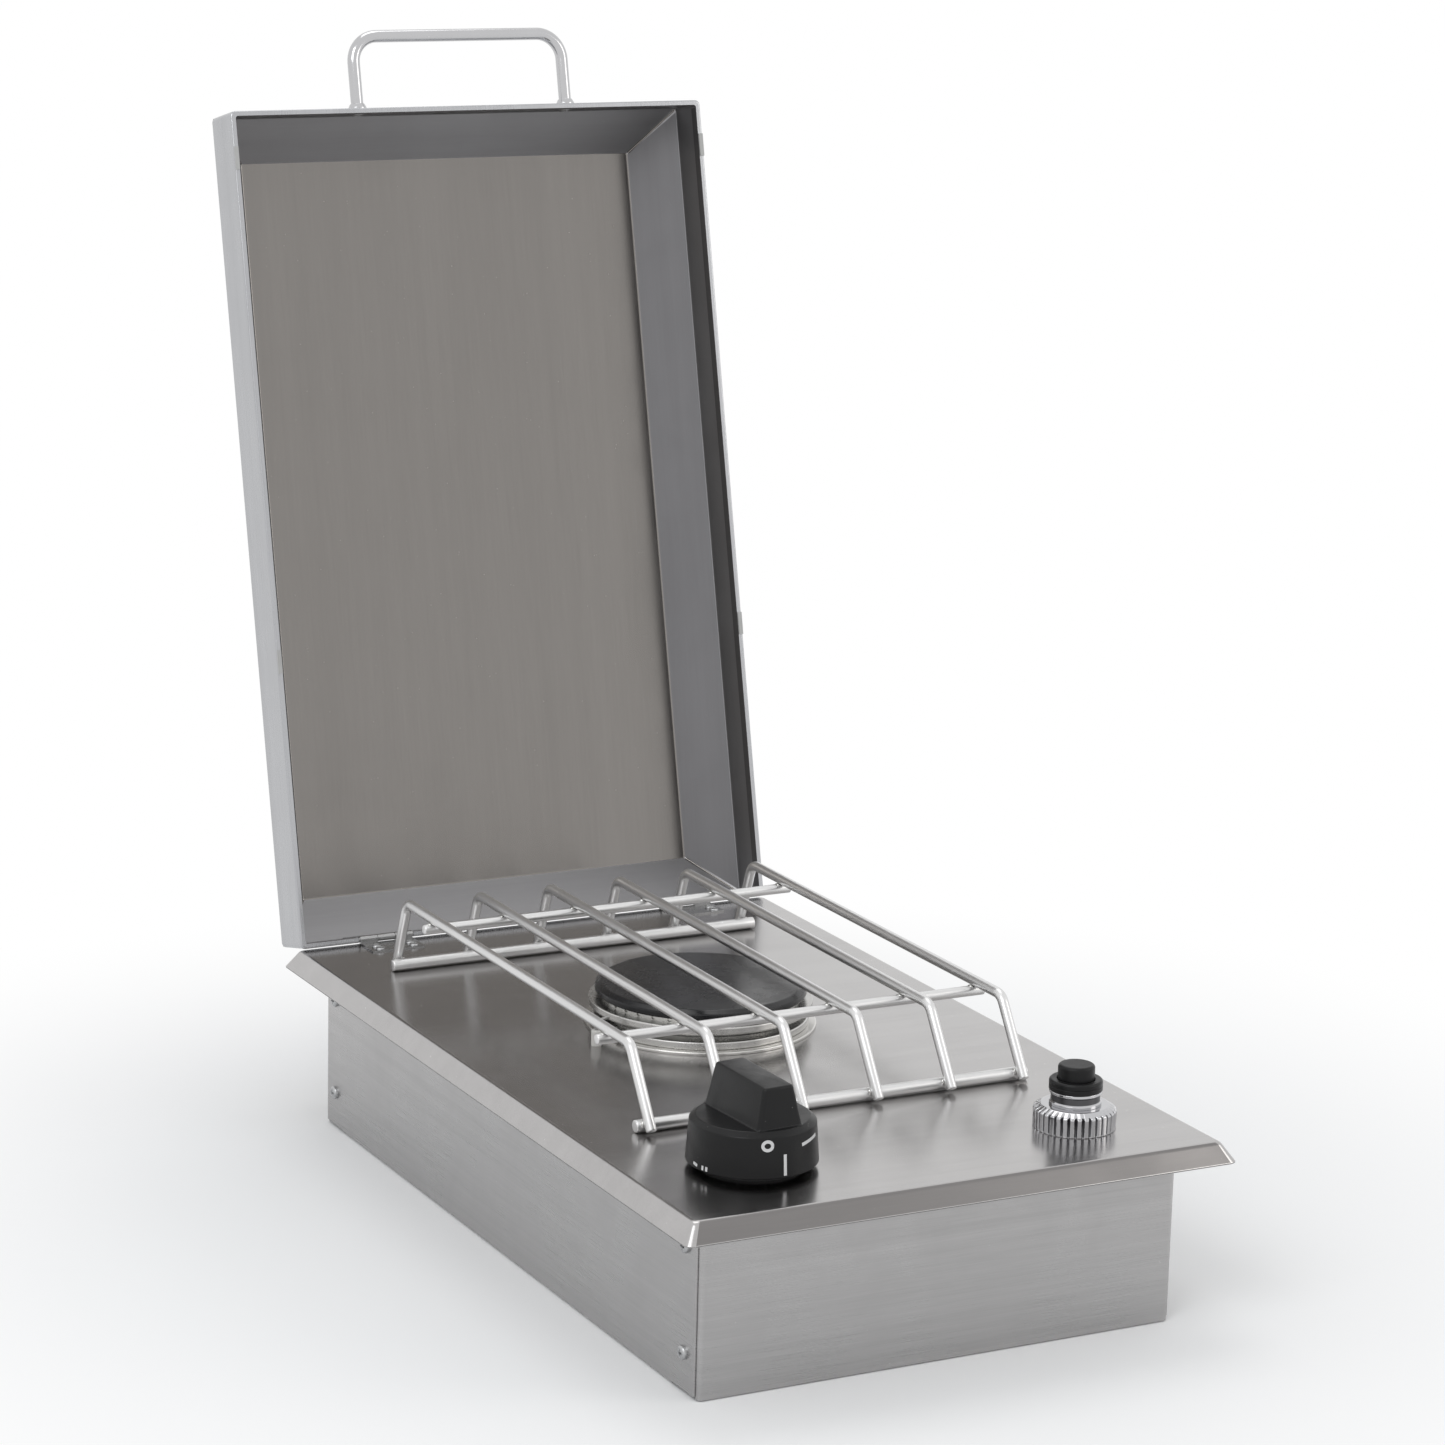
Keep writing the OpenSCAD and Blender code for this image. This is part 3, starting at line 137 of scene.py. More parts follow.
def circle(x, y, r, n):
    """n points round a circle, counter-clockwise."""
    a = np.linspace(0.0, 2 * np.pi, n, endpoint=False)
    return np.stack([x + r * np.cos(a), y + r * np.sin(a)], -1)


def punched(outline, holes, z):
    """Level face between an outline and round holes (x, y, radius, points), filled with triangles that keep
    every given edge; triangles whose middle lies inside a hole are left out."""
    loops = [np.asarray(outline)[:, :2]] + [circle(*h) for h in holes]
    sizes = [len(q) for q in loops]
    starts = np.concatenate([[0], np.cumsum(sizes)[:-1]])
    edges = []
    for s, n in zip(starts, sizes):
        k = np.arange(n)
        edges += np.stack([s + k, s + (k + 1) % n], -1).tolist()
    flat = [Vector(q) for q in np.concatenate(loops).tolist()]
    made = delaunay_2d_cdt(flat, edges, [], 1, 1e-5)
    points = np.array([[v.x, v.y, z] for v in made[0]])
    faces = np.array([list(f) for f in made[2]])
    middles = points[faces].mean(1)
    kept = np.ones(len(faces), bool)
    for x, y, r, _ in holes:
        kept &= np.hypot(middles[:, 0] - x, middles[:, 1] - y) > r
    return points, faces[kept].tolist(), 0


def in_scene(name, parts):
    """Puts parts, given in millimetres, into one mesh object in metres. Points that meet are joined, and
    faces are turned outwards."""
    counts = np.cumsum([0] + [len(q[0]) for q in parts])
    points = np.concatenate([q[0] for q in parts]) * 0.001
    faces = [[int(c) + s for c in f] for q, s in zip(parts, counts.tolist()) for f in q[1]]
    paint = np.concatenate([np.broadcast_to(q[2], (len(q[1]),)) for q in parts])
    mesh = bpy.data.meshes.new(name)
    mesh.from_pydata(points.tolist(), [], faces)
    mesh.polygons.foreach_set("material_index", paint.astype(np.int32))
    work = bmesh.new()
    work.from_mesh(mesh)
    bmesh.ops.remove_doubles(work, verts=work.verts, dist=2e-6)
    bmesh.ops.dissolve_degenerate(work, edges=work.edges, dist=1e-6)
    bmesh.ops.recalc_face_normals(work, faces=work.faces)
    work.to_mesh(mesh)
    work.free()
    thing = bpy.data.objects.new(name, mesh)
    bpy.context.scene.collection.objects.link(thing)
    return thing, mesh


def piece(name, parts, materials, body, nodes=(), sharp=38.0, bevel=0.0):
    """One smooth piece with its finishes, which rides on a body and stands for CAD nodes. Edges sharper than
    'sharp' degrees stay crisp, or get a small round of 'bevel' millimetres."""
    thing, mesh = in_scene(name, parts)
    mesh.polygons.foreach_set("use_smooth", np.ones(len(mesh.polygons), bool))
    for m in materials if isinstance(materials, (list, tuple)) else [materials]:
        mesh.materials.append(m)
    if bevel:
        edge = thing.modifiers.new("edge", "BEVEL")
        edge.width = bevel * 0.001
        edge.segments = 2
        edge.limit_method = "ANGLE"
        edge.angle_limit = math.radians(sharp)
        edge.harden_normals = True
    else:
        mesh.set_sharp_from_angle(angle=math.radians(sharp))
    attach(thing, body)
    if nodes:
        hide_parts(*nodes)
    return thing


def node_group(name, inputs, outputs):
    """An empty shader node group with named number inputs and outputs, and its input and output nodes."""
    group = bpy.data.node_groups.new(name, "ShaderNodeTree")
    for label, value in inputs.items():
        entry = group.interface.new_socket(label, in_out="INPUT", socket_type="NodeSocketFloat")
        entry.default_value = value
    for label in outputs:
        group.interface.new_socket(label, in_out="OUTPUT", socket_type="NodeSocketFloat")
    return group, group.nodes.new("NodeGroupInput"), group.nodes.new("NodeGroupOutput")


def feed(tree, n, values):
    """Gives a node's inputs, by name or number, their numbers, colours or other nodes' sockets."""
    for label, value in values.items():
        if isinstance(value, bpy.types.NodeSocket):
            tree.links.new(value, n.inputs[label])
        else:
            n.inputs[label].default_value = value
    return n


def shader_node(tree, kind, values, **settings):
    """A new node of a shader, with its settings and inputs."""
    n = tree.nodes.new("ShaderNode" + kind)
    for label, setting in settings.items():
        setattr(n, label, setting)
    return feed(tree, n, values)


def calc(tree, how, a, b=0.0, clamp=False):
    """A Math node on two sockets or numbers, and its output."""
    return shader_node(tree, "Math", {0: a, 1: b}, operation=how, use_clamp=clamp).outputs[0]


def noise(tree, vector, scale, detail, rough=0.55, warp=0.0):
    """A Noise node's value on a vector socket."""
    values = {"Vector": vector, "Scale": scale, "Detail": detail, "Roughness": rough, "Distortion": warp}
    return shader_node(tree, "TexNoise", values).outputs[0]


def ramp(tree, value, low, high, to_low=0.0, to_high=1.0):
    """A value carried smoothly from low..high to to_low..to_high."""
    values = {"Value": value, "From Min": low, "From Max": high, "To Min": to_low, "To Max": to_high}
    return shader_node(tree, "MapRange", values, interpolation_type="SMOOTHSTEP").outputs[0]


def place_on(tree):
    """The Object coordinates, in metres."""
    return shader_node(tree, "TexCoord", {}).outputs["Object"]


def grain_group():
    """Grain of a rolled or brushed sheet: noise drawn out along one direction. The inputs are the number of
    grains to the metre along each axis and the tilt of the sheet about X. 'Lines' is the fine grain, 'Bands'
    the broad streaks in it."""
    inputs = {"Along X": 40, "Along Y": 1800, "Along Z": 1800, "Tilt": 0}
    group, given, put = node_group("sheet_grain", inputs, ["Lines", "Bands"])
    turned_by = shader_node(group, "CombineXYZ", {0: given.outputs["Tilt"]}).outputs[0]
    turn = shader_node(group, "Mapping", {"Vector": place_on(group), "Rotation": turned_by}).outputs[0]
    counts = shader_node(group, "CombineXYZ", {k: given.outputs[k] for k in range(3)}).outputs[0]
    stretch = shader_node(group, "VectorMath", {0: turn, 1: counts}, operation="MULTIPLY").outputs[0]
    feed(group, put, {"Lines": noise(group, stretch, 1.0, 4.0, 0.65),
                      "Bands": noise(group, stretch, 0.07, 3.0, 0.6)})
    return group


def handling_group():
    """Traces of handling. 'Smudge' is a soft cloud of wiped marks about 6 cm across, 'Dust' a sparse field of
    pale specks under 1 mm, and 'Scratch' thin curved hairlines cut from the crests of a stretched noise."""
    group, given, put = node_group("handling", {"Size": 16.0, "Specks": 420.0}, ["Smudge", "Dust", "Scratch"])
    where = place_on(group)
    cloud = noise(group, where, given.outputs["Size"], 5.0, 0.6, 0.4)
    cells = shader_node(group, "TexVoronoi",
                        {"Vector": where, "Scale": given.outputs["Specks"], "Randomness": 1.0})
    near = ramp(group, cells.outputs["Distance"], 0.06, 0.16, 1.0, 0.0)
    chosen = ramp(group, noise(group, where, 190.0, 1.0), 0.66, 0.72)
    crest = calc(group, "ABSOLUTE", calc(group, "SUBTRACT", noise(group, where, 26.0, 2.0, 0.5, 1.6), 0.5))
    feed(group, put, {"Smudge": ramp(group, cloud, 0.35, 0.72), "Dust": calc(group, "MULTIPLY", near, chosen),
                      "Scratch": ramp(group, crest, 0.0, 0.0035, 1.0, 0.0)})
    return group


sheet_grain = grain_group()
handling = handling_group()


def new_finish(name):
    """A new material, its node tree and its surface shader."""
    made = bpy.data.materials.new(name)
    made.use_nodes = True
    return made, made.node_tree, made.node_tree.nodes["Principled BSDF"]


def placed(tree, group, values):
    """A shader node group put into a material, with its own values."""
    return shader_node(tree, "Group", values, node_tree=group)


def mixed(tree, share, a, b):
    """The colour that lies by 'share' of the way from a to b."""
    return shader_node(tree, "Mix", {"Factor": share, "A": a, "B": b}, data_type="RGBA").outputs["Result"]


def tinted(tree, tone, shift, darkest, lightest):
    """The tone, from 'darkest' to 'lightest' times itself as the socket 'shift' goes from 0 to 1."""
    dark, light = [(*(min(1.0, k * c) for c in tone), 1) for k in (darkest, lightest)]
    return mixed(tree, shift, dark, light)


def embossed(tree, height, strength, depth):
    """A surface with bumps, from a height socket and its depth in metres."""
    return shader_node(tree, "Bump", {"Height": height, "Strength": strength, "Distance": depth}).outputs[0]


def steel(name, tone, rough, along, *, lines, bands, bump, tilt=0.0, smudge=0.1, drawn=None):
    """Bare or plated metal. The colour is the tone, made lighter and darker by the grain and its bands; the
    roughness grows with the grain, the smudges and the dust; the grain, hairlines and a long soft wave in
    the sheet make the bump. 'drawn' is the way it is brushed, across which the sheet spreads its gloss."""
    made, tree, shade = new_finish(name)
    feed(tree, shade, {"Metallic": 1.0})
    if drawn:
        brushed = shader_node(tree, "CombineXYZ", dict(enumerate(drawn))).outputs[0]
        feed(tree, shade, {"Anisotropic": 0.75, "Anisotropic Rotation": 0.25, "Tangent": brushed})
    grain = placed(tree, sheet_grain, dict(enumerate((*along, tilt))))
    marks = placed(tree, handling, {})
    fine = calc(tree, "MULTIPLY", calc(tree, "SUBTRACT", grain.outputs["Lines"], 0.5), 2 * lines)
    broad = calc(tree, "MULTIPLY", calc(tree, "SUBTRACT", grain.outputs["Bands"], 0.5), 2 * bands)
    dull = calc(tree, "MULTIPLY", marks.outputs["Smudge"], -0.3 * smudge)
    dust = calc(tree, "MULTIPLY", marks.outputs["Dust"], 0.5)
    level_sum = calc(tree, "ADD", calc(tree, "ADD", fine, broad), calc(tree, "ADD", dull, dust))
    shift = calc(tree, "ADD", level_sum, 0.5, clamp=True)
    haze = calc(tree, "ADD", calc(tree, "MULTIPLY", marks.outputs["Smudge"], smudge), rough)
    haze = calc(tree, "ADD", haze, calc(tree, "MULTIPLY", fine, 0.8))
    haze = calc(tree, "ADD", haze, calc(tree, "MULTIPLY", marks.outputs["Dust"], 0.3), clamp=True)
    wave = noise(tree, place_on(tree), 9.0, 1.0, 0.4)
    height = calc(tree, "ADD", calc(tree, "MULTIPLY", grain.outputs["Lines"], 0.012), wave)
    height = calc(tree, "SUBTRACT", height, calc(tree, "MULTIPLY", marks.outputs["Scratch"], 0.004))
    feed(tree, shade, {"Base Color": tinted(tree, tone, shift, 0.5, 1.5), "Roughness": haze,
                       "Normal": embossed(tree, height, bump, 0.002)})
    return made


deck_steel = steel("deck_steel", (0.455, 0.446, 0.443), 0.2, (30, 900, 900),
                   lines=0.06, bands=0.08, bump=0.02, smudge=0.05)
# The second deck steel is the first made rougher and darker: the darker tone is painted shade for the front
# bevel.
deck_front_shaded_steel = steel("deck_front_bevel_painted_shade", (0.215, 0.207, 0.204), 0.3, (30, 900, 900),
                         lines=0.06, bands=0.08, bump=0.05)


def ends(node):
    """The lowest and the highest corner of a CAD node's box, in millimetres to the nearest hundredth."""
    return np.round(np.array(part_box(node)) * 1000, 2)


def middle_of(node):
    """Where the middle of a CAD node stands, seen from above, in millimetres to the nearest tenth."""
    return np.round(ends(node).mean(0)[:2], 1)


sheet = 1.2
deck_low, deck_high = ends("deck_plate")
deck_half_x, deck_half_y = (deck_high - deck_low)[:2] / 2
deck_middle = (deck_high + deck_low)[:2] / 2
deck_foot, deck_top = deck_low[2], deck_high[2]
deck_under = deck_top - sheet
deck_line = eased([(14, deck_foot), (0, deck_foot), (0, deck_foot + 0.7), (7, deck_top), (11, deck_top)],
                  [0, 0.34, 0.3, 3.6, 0], 8, hold=0.25)
deck_back = np.array([(14, deck_foot + sheet), (1.85, deck_foot + sheet), (7.64, deck_under),
                      (11, deck_under)])
deck_loop = np.concatenate([deck_line, deck_back[::-1]])
corner = 5.0 - 0.25 * np.minimum(deck_loop[:, 0], 7.5)
deck_rings = [rectangle(deck_half_x - d, deck_half_y - d, r, z, deck_middle)
              for (d, z), r in zip(deck_loop, corner)]
top_ring = deck_rings[len(deck_line) - 1]
under_ring = deck_rings[len(deck_line)]
burner_xy, knob_xy = middle_of("burner_base"), middle_of("knob")
igniter_xy, electrode_xy = middle_of("igniter_button"), middle_of("electrode_ceramic")
deck_holes = [(*burner_xy, 26.5, 72), (*knob_xy, 6.5, 48), (*igniter_xy, 11.05, 48), (*electrode_xy, 3.3, 24)]
throats = [lofted([np.column_stack([circle(*h), np.full(h[3], z)]) for z in (deck_under, deck_top)])
           for h in deck_holes]
# The bevel along the front takes the second finish: rougher than the deck, and darker in tone as painted
# shade on the front slope. It covers the bevel from the last point of the front left corner's quarter circle
# to the first of the front right corner's.
bevel_top = deck_rings[len(deck_line) - 2]
along_front = np.abs((bevel_top[:, 1] + np.roll(bevel_top[:, 1], -1)) / 2 - bevel_top[:, 1].min()) < 0.05
folds = (deck_line[:-1, 1] > deck_foot + 0.8) & (deck_line[:-1, 1] < deck_top - 0.4)
front_bevel_shade_paint = (folds[:, None] & along_front[None]).astype(int).ravel()
deck_faces = [lofted(deck_rings[:len(deck_line)], paint=front_bevel_shade_paint),
              lofted(deck_rings[len(deck_line):] + deck_rings[:1]),
              punched(top_ring, deck_holes, deck_top), punched(under_ring, deck_holes, deck_under)]
piece("deck_sheet", deck_faces + throats, [deck_steel, deck_front_shaded_steel], "box", ["deck_plate"],
      sharp=50)

# ---------- box ----------
# The box under the deck is folded from brushed 1.2 mm stainless: front and rear panels with round folded
# corners, side panels lapped over their returns and held by pan-head screws, and a vented floor pan.


def folded(line, thick, low, high, order):
    """Folded sheet: a rectangle, 'thick' deep and reaching from low to high, is carried along the fold line,
    and its depth stands at right angles to the line. 'order' says which axes the line's two numbers and the
    width take."""
    line = np.asarray(line, float)
    run = np.gradient(line, axis=0)
    run /= np.linalg.norm(run, axis=1)[:, None]
    back = line + thick * np.stack([-run[:, 1], run[:, 0]], -1)
    low = np.broadcast_to(low, (len(line),))
    high = np.broadcast_to(high, (len(line),))
    loops = np.stack([np.column_stack([line, low]), np.column_stack([line, high]),
                      np.column_stack([back, high]), np.column_stack([back, low])], 1)
    return lofted(loops[:, :, list(order)], caps=True)


def slab(low, high):
    """A plain plate between two corners."""
    (x0, y0, z0), (x1, y1, z1) = low, high
    base = np.array([[x0, y0], [x1, y0], [x1, y1], [x0, y1]], float)
    return lofted([np.column_stack([base, np.full(4, z)]) for z in (z0, z1)], caps=True)


def moved(part, matrix):
    """A part with its points put through a 4 by 4 matrix."""
    m = np.array(matrix)
    return part[0] @ m[:3, :3].T + m[:3, 3], part[1], part[2]


def moved_all(parts, matrix):
    """Several parts moved alike."""
    return [moved(q, matrix) for q in parts]


box_steel = steel("box_steel", (0.42, 0.414, 0.414), 0.27, (25, 25, 2600),
                  lines=0.16, bands=0.1, bump=0.08, drawn=(0.34, 0.94, 0))
box_front = -ends("front_panel")[0][1]
box_side, box_end, panel_top = ends("right_side_panel")[1]


def end_panel():
    """Front panel: its plan line runs in along the left return, round both 3 mm folds and back along the
    right return. The returns are cut lower than the face, and a flange lies at its foot and at its head."""
    half, back = box_side - sheet, box_front - 24
    plan = eased([(-half, -back), (-half, -box_front), (half, -box_front), (half, -back)], [0, 3, 3, 0], 10)
    inside = plan[:, 1] > 3.1 - box_front
    low = np.where(inside, 1.6, 0.0)
    high = np.where(inside, panel_top - 1.6, panel_top)
    flanges = [slab((-130.5, 1.1 - box_front, z), (130.5, 12 - box_front, z + sheet))
               for z in (0, panel_top - sheet)]
    return [folded(plan, sheet, low, high, (0, 1, 2))] + flanges


half_turn = Matrix.Rotation(math.pi, 4, "Z")
piece("front_panel_sheet", end_panel(), box_steel, "box", ["front_panel"], bevel=0.25)
piece("rear_panel_sheet", moved_all(end_panel(), half_turn), box_steel, "box", ["rear_panel"],
      bevel=0.25)


def flank():
    """Side panel: its line in the XZ plane runs out along the lower flange, up the wall and in along the
    upper flange; the flanges stop short of the ends."""
    inner = box_side - 12
    line = eased([(inner, 0), (box_side, 0), (box_side, panel_top), (inner, panel_top)], [0, 1.7, 1.7, 0], 6)
    wall = (line[:, 1] > 1.5) & (line[:, 1] < panel_top - 1.5)
    reach = np.where(wall, box_end, box_end - 25)
    return folded(line, sheet, -reach, reach, (0, 2, 1))


mirror = Matrix.Scale(-1, 4, (1, 0, 0))
piece("right_side_sheet", [flank()], box_steel, "box", ["right_side_panel"], bevel=0.25)
piece("left_side_sheet", [moved(flank(), mirror)], box_steel, "box", ["left_side_panel"],
      bevel=0.25)

# ---------- screws and rivets ----------
# Pan-head screws with a cross recess hold the side panels; smaller ones hold the hinges to the deck and the
# handle to the lid. The hinge leaves are riveted to the lid's skirt. All are plated steel.


def round_axis(r, a, z):
    """Points at radius r, angle a and height z about the upright axis, for every pair of row and column."""
    return np.stack(np.broadcast_arrays(r * np.cos(a), r * np.sin(a), z), -1)


def turned(profile, n, closed=True, paint=0):
    """Surface of revolution: each profile point (radius, height) goes round the upright axis at n even
    angles."""
    profile = np.asarray(profile, float)
    a = np.linspace(0.0, 2 * np.pi, n, endpoint=False)
    return lofted(round_axis(profile[:, :1], a, profile[:, 1:]), along=closed, paint=paint)


def crossed_head(r, h, shank, length):
    """Pan head on a shank: over the head, height is h * (1 - (radius / r)^4)^(1/3), less a cross-shaped
    recess whose depth falls off smoothly at its walls; below it the shank is a plain bar."""
    ring = np.concatenate([np.linspace(0.0, 0.62, 15), np.array([0.7, 0.78, 0.86, 0.93, 0.98, 1.0])]) * r
    a = np.linspace(0.0, 2 * np.pi, 64, endpoint=False)
    x = ring[:, None] * np.cos(a)
    y = ring[:, None] * np.sin(a)
    top = h * np.clip(1 - (ring[:, None] / r) ** 4, 0, 1) ** (1 / 3) + 0 * a
    arm = np.minimum(np.abs(x), np.abs(y))
    reach = np.maximum(np.abs(x), np.abs(y))
    recess = np.clip((0.15 * r - arm) / (0.06 * r), 0, 1) * np.clip((0.58 * r - reach) / (0.1 * r), 0, 1)
    top = top - 0.55 * h * recess
    cap = np.stack([x, y, top], -1)
    low = [(r, 0.0), (shank, 0.0), (shank, -length), (0.0, -length)]
    skirt = turned(low, 64, closed=False)
    return [lofted(cap), skirt]


def stood(parts, at, to):
    """Parts turned from the Z axis to the direction 'to' and moved to 'at'."""
    return moved_all(parts, Matrix.Translation(at) @ Vector(to).to_track_quat("Z", "Y").to_matrix().to_4x4())


zinc = steel("zinc_plate", (0.46, 0.465, 0.47), 0.3, (300, 300, 300), lines=0.1, bands=0.15, bump=0.1)
panel_heads = []
for side in (-1, 1):
    for y in (-232, 232):
        for z in (22, 80):
            panel_heads += stood(crossed_head(4.0, 2.4, 2.0, 8.0), (side * box_side, y, z), (side, 0, 0))
piece("panel_screw_heads", panel_heads, zinc, "box", ["panel_screws"])
hinge_x = 102
leaf_holes = [side * hinge_x + across for side in (-1, 1) for across in (-11, 11)]
hinge_heads = []
for x in leaf_holes:
    for y in (237.4, 243.4):
        hinge_heads += stood(crossed_head(2.8, 1.4, 1.5, 6.0), (x, y, deck_top + 1), (0, 0, 1))
piece("hinge_screw_heads", hinge_heads, zinc, "box", ["hinge_screws"])

# ---------- lid ----------
# The lid is a deep pressing of 1 mm stainless: an upright skirt, a wide bevel and a flat panel, with a folded
# hem round its rim and ground welds down its four mitred corners. The hem is notched for the hinges.

# The lid's pieces are worked out closed, from the hinge line, and 'on_lid' swings them open.
hinge = next(j for j in frame["joints"] if j["name"] == "lid_hinge")
open_angle = math.radians(hinge["range_deg"][1])
on_lid = Matrix.Translation([v * 1000 for v in hinge["pos_m"]]) @ Matrix.Rotation(-open_angle, 4, "X")
# Five copies of one steel for the one sheet of the lid, whose different tones are painted light and shade.
lid_face = steel("lid_steel_inside", (0.235, 0.222, 0.210), 0.2, (900, 30, 900), tilt=open_angle,
                 lines=0.07, bands=0.07, bump=0.06, smudge=0.04, drawn=(1, 0, 0))
lid_wall_shaded_steel = steel("lid_steel_walls_painted_shade", (0.18, 0.178, 0.184), 0.4, (900, 30, 900), tilt=open_angle,
                 lines=0.07, bands=0.1, bump=0.1, smudge=0.06)
lid_end_lit_steel = steel("lid_steel_ends_painted_light", (0.34, 0.336, 0.344), 0.38, (30, 900, 900), tilt=open_angle,
                lines=0.07, bands=0.1, bump=0.1, smudge=0.06)
lid_hem = steel("lid_steel_hem", (0.36, 0.36, 0.37), 0.4, (900, 30, 900), tilt=open_angle,
                lines=0.08, bands=0.1, bump=0.1)
lid_skin = steel("lid_steel_outside", (0.44, 0.445, 0.46), 0.26, (900, 30, 900), tilt=open_angle,
                 lines=0.1, bands=0.1, bump=0.12, smudge=0.06)

lid_half_x, lid_half_y, lid_middle, rim_below_hinge = 157.5, 252.0, (0.0, -250.14), 1.5
lid_outer = eased([(3, 0.0), (0, 0.0), (0, 32), (25.5, 58), (32, 58)], [0, 0.9, 1.6, 1.6, 0], 5)
lid_outer[:, 1] -= rim_below_hinge
lid_inner = eased([(32, 57), (25.92, 57), (1, 31.59), (1, 1), (2, 1), (2, 7), (3, 7), (3, 0.0)],
                  [0, 1.4, 1.4, 0, 0, 0.3, 0.3, 0], 5, hold=0.2)
lid_inner[:, 1] -= rim_below_hinge


def lid_rings(line):
    """Rings of the closed lid; the corner radius shrinks from 3 mm at the skirt to 0.8 mm at the panel, as a
    mitred corner does."""
    r = np.interp(line[:, 0], [0, 3, 26], [3.0, 1.6, 0.8])
    return [rectangle(lid_half_x - d, lid_half_y - d, k, z, lid_middle, 5) for (d, z), k in zip(line, r)]


outer_rings = lid_rings(lid_outer)
inner_rings = lid_rings(lid_inner)
n_ring = len(outer_rings[0])
# The lid is one sheet. Inside, the panel, the side bevels and skirt, the end bevels and skirt, and the hem
# each take a copy of one steel with its own tone, and so does the outside. These tones are painted light and
# shade: the sides darkest as painted shade, the ends lighter as painted light. A face belongs to an end where
# its middle lies relatively farther along the lid than across it.
lid_lit_and_shaded_finishes = [lid_skin, lid_face, lid_wall_shaded_steel, lid_hem, lid_end_lit_steel]
skin, face, wall, hem, end = range(len(lid_lit_and_shaded_finishes))
by_row = np.where(lid_inner[:-1, 0] < 1.5, hem, np.where(lid_inner[:-1, 1] > 55.3, face, wall))[:, None]
face_middle = np.abs((inner_rings[0] + np.roll(inner_rings[0], -1, axis=0))[:, :2] / 2 - lid_middle)
at_end = face_middle[:, 1] / lid_half_y > face_middle[:, 0] / lid_half_x
inner_paint = np.where((by_row == wall) & at_end, end, by_row).ravel()
whole_ring = [list(range(n_ring))]
lid_parts = [lofted(outer_rings, paint=skin), lofted(inner_rings, paint=inner_paint),
             (outer_rings[-1], whole_ring, skin), (inner_rings[0], whole_ring, face)]
lid_sheet = piece("lid_sheet", moved_all(lid_parts, on_lid), lid_lit_and_shaded_finishes, "lid", ["lid_shell"],
                  sharp=30)


def cut_away(thing, blocks):
    """Takes plain blocks out of a mesh, and keeps the result as the mesh."""
    cutter, _ = in_scene("cutter", blocks)
    cut = thing.modifiers.new("cut", "BOOLEAN")
    cut.operation = "DIFFERENCE"
    cut.object = cutter
    bpy.context.view_layer.update()
    result = bpy.data.meshes.new_from_object(thing.evaluated_get(bpy.context.evaluated_depsgraph_get()))
    thing.modifiers.clear()
    thing.data = result
    bpy.data.objects.remove(cutter)
    result.set_sharp_from_angle(angle=math.radians(30))


notches = [slab((x - 18, -3.0, -3.0), (x + 18, 3.0, 6.5)) for x in (-hinge_x, hinge_x)]
cut_away(lid_sheet, moved_all(notches, on_lid))


def bar(path, r, across, n, end):
    """Round bar: a circle of radius r about each point of the path, in the plane of 'across' and the normal
    to both. Each end shrinks by 'end' along a quarter circle and closes on the path."""
    path = np.asarray(path, float)
    run = np.gradient(path, axis=0)
    run /= np.linalg.norm(run, axis=1)[:, None]
    a = np.linspace(0.0, np.pi / 2, 5)
    back = end * (1 - np.sin(a))[::-1][:, None]
    shrunk = (r - end * (1 - np.cos(a)))[::-1]
    first = path[0] + run[0] * back
    last = path[-1] - run[-1] * back
    centres = np.concatenate([path[:1], first, path[1:-1], last[::-1], path[-1:]])
    radii = np.concatenate([[0.0], shrunk, np.full(len(path) - 2, r), shrunk[::-1], [0.0]])
    runs = np.concatenate([np.repeat(run[:1], 6, 0), run[1:-1], np.repeat(run[-1:], 6, 0)])
    u = np.broadcast_to(np.asarray(across, float), runs.shape)
    w = np.cross(runs, u)
    w /= np.linalg.norm(w, axis=1)[:, None]
    t = np.linspace(0.0, 2 * np.pi, n, endpoint=False)[:, None]
    return lofted(centres[:, None] + radii[:, None, None] * (u[:, None] * np.cos(t) + w[:, None] * np.sin(t)))


seams = []
for sx in (-1, 1):
    for sy in (-1, 1):
        low_end = np.array([sx * 156.6, lid_middle[1] + sy * 251.1, 29.5])
        high_end = np.array([sx * 131.8, lid_middle[1] + sy * 226.3, 54.4])
        path = low_end + np.linspace(0, 1, 30)[:, None] * (high_end - low_end)
        seams.append(bar(path, 0.55, (sy * 0.7071, -sx * 0.7071, 0), 10, 0.3))
piece("lid_corner_welds", moved_all(seams, on_lid), lid_face, "lid")

dome = eased([(0, -2.2), (1.5, -2.2), (1.5, 0), (2.6, 0), (2.2, 0.8), (0, 1.0)], [0, 0, 0, 0.1, 0.5, 0], 4,
             hold=0.02)
rivets = []
for x in leaf_holes:
    for z in (9.5, 18.5):
        rivets += stood([turned(dome, 32, closed=False)], (x, 1.86, z), (0, 1, 0))
piece("lid_rivet_heads", moved_all(rivets, on_lid), zinc, "lid", ["lid_rivets"])

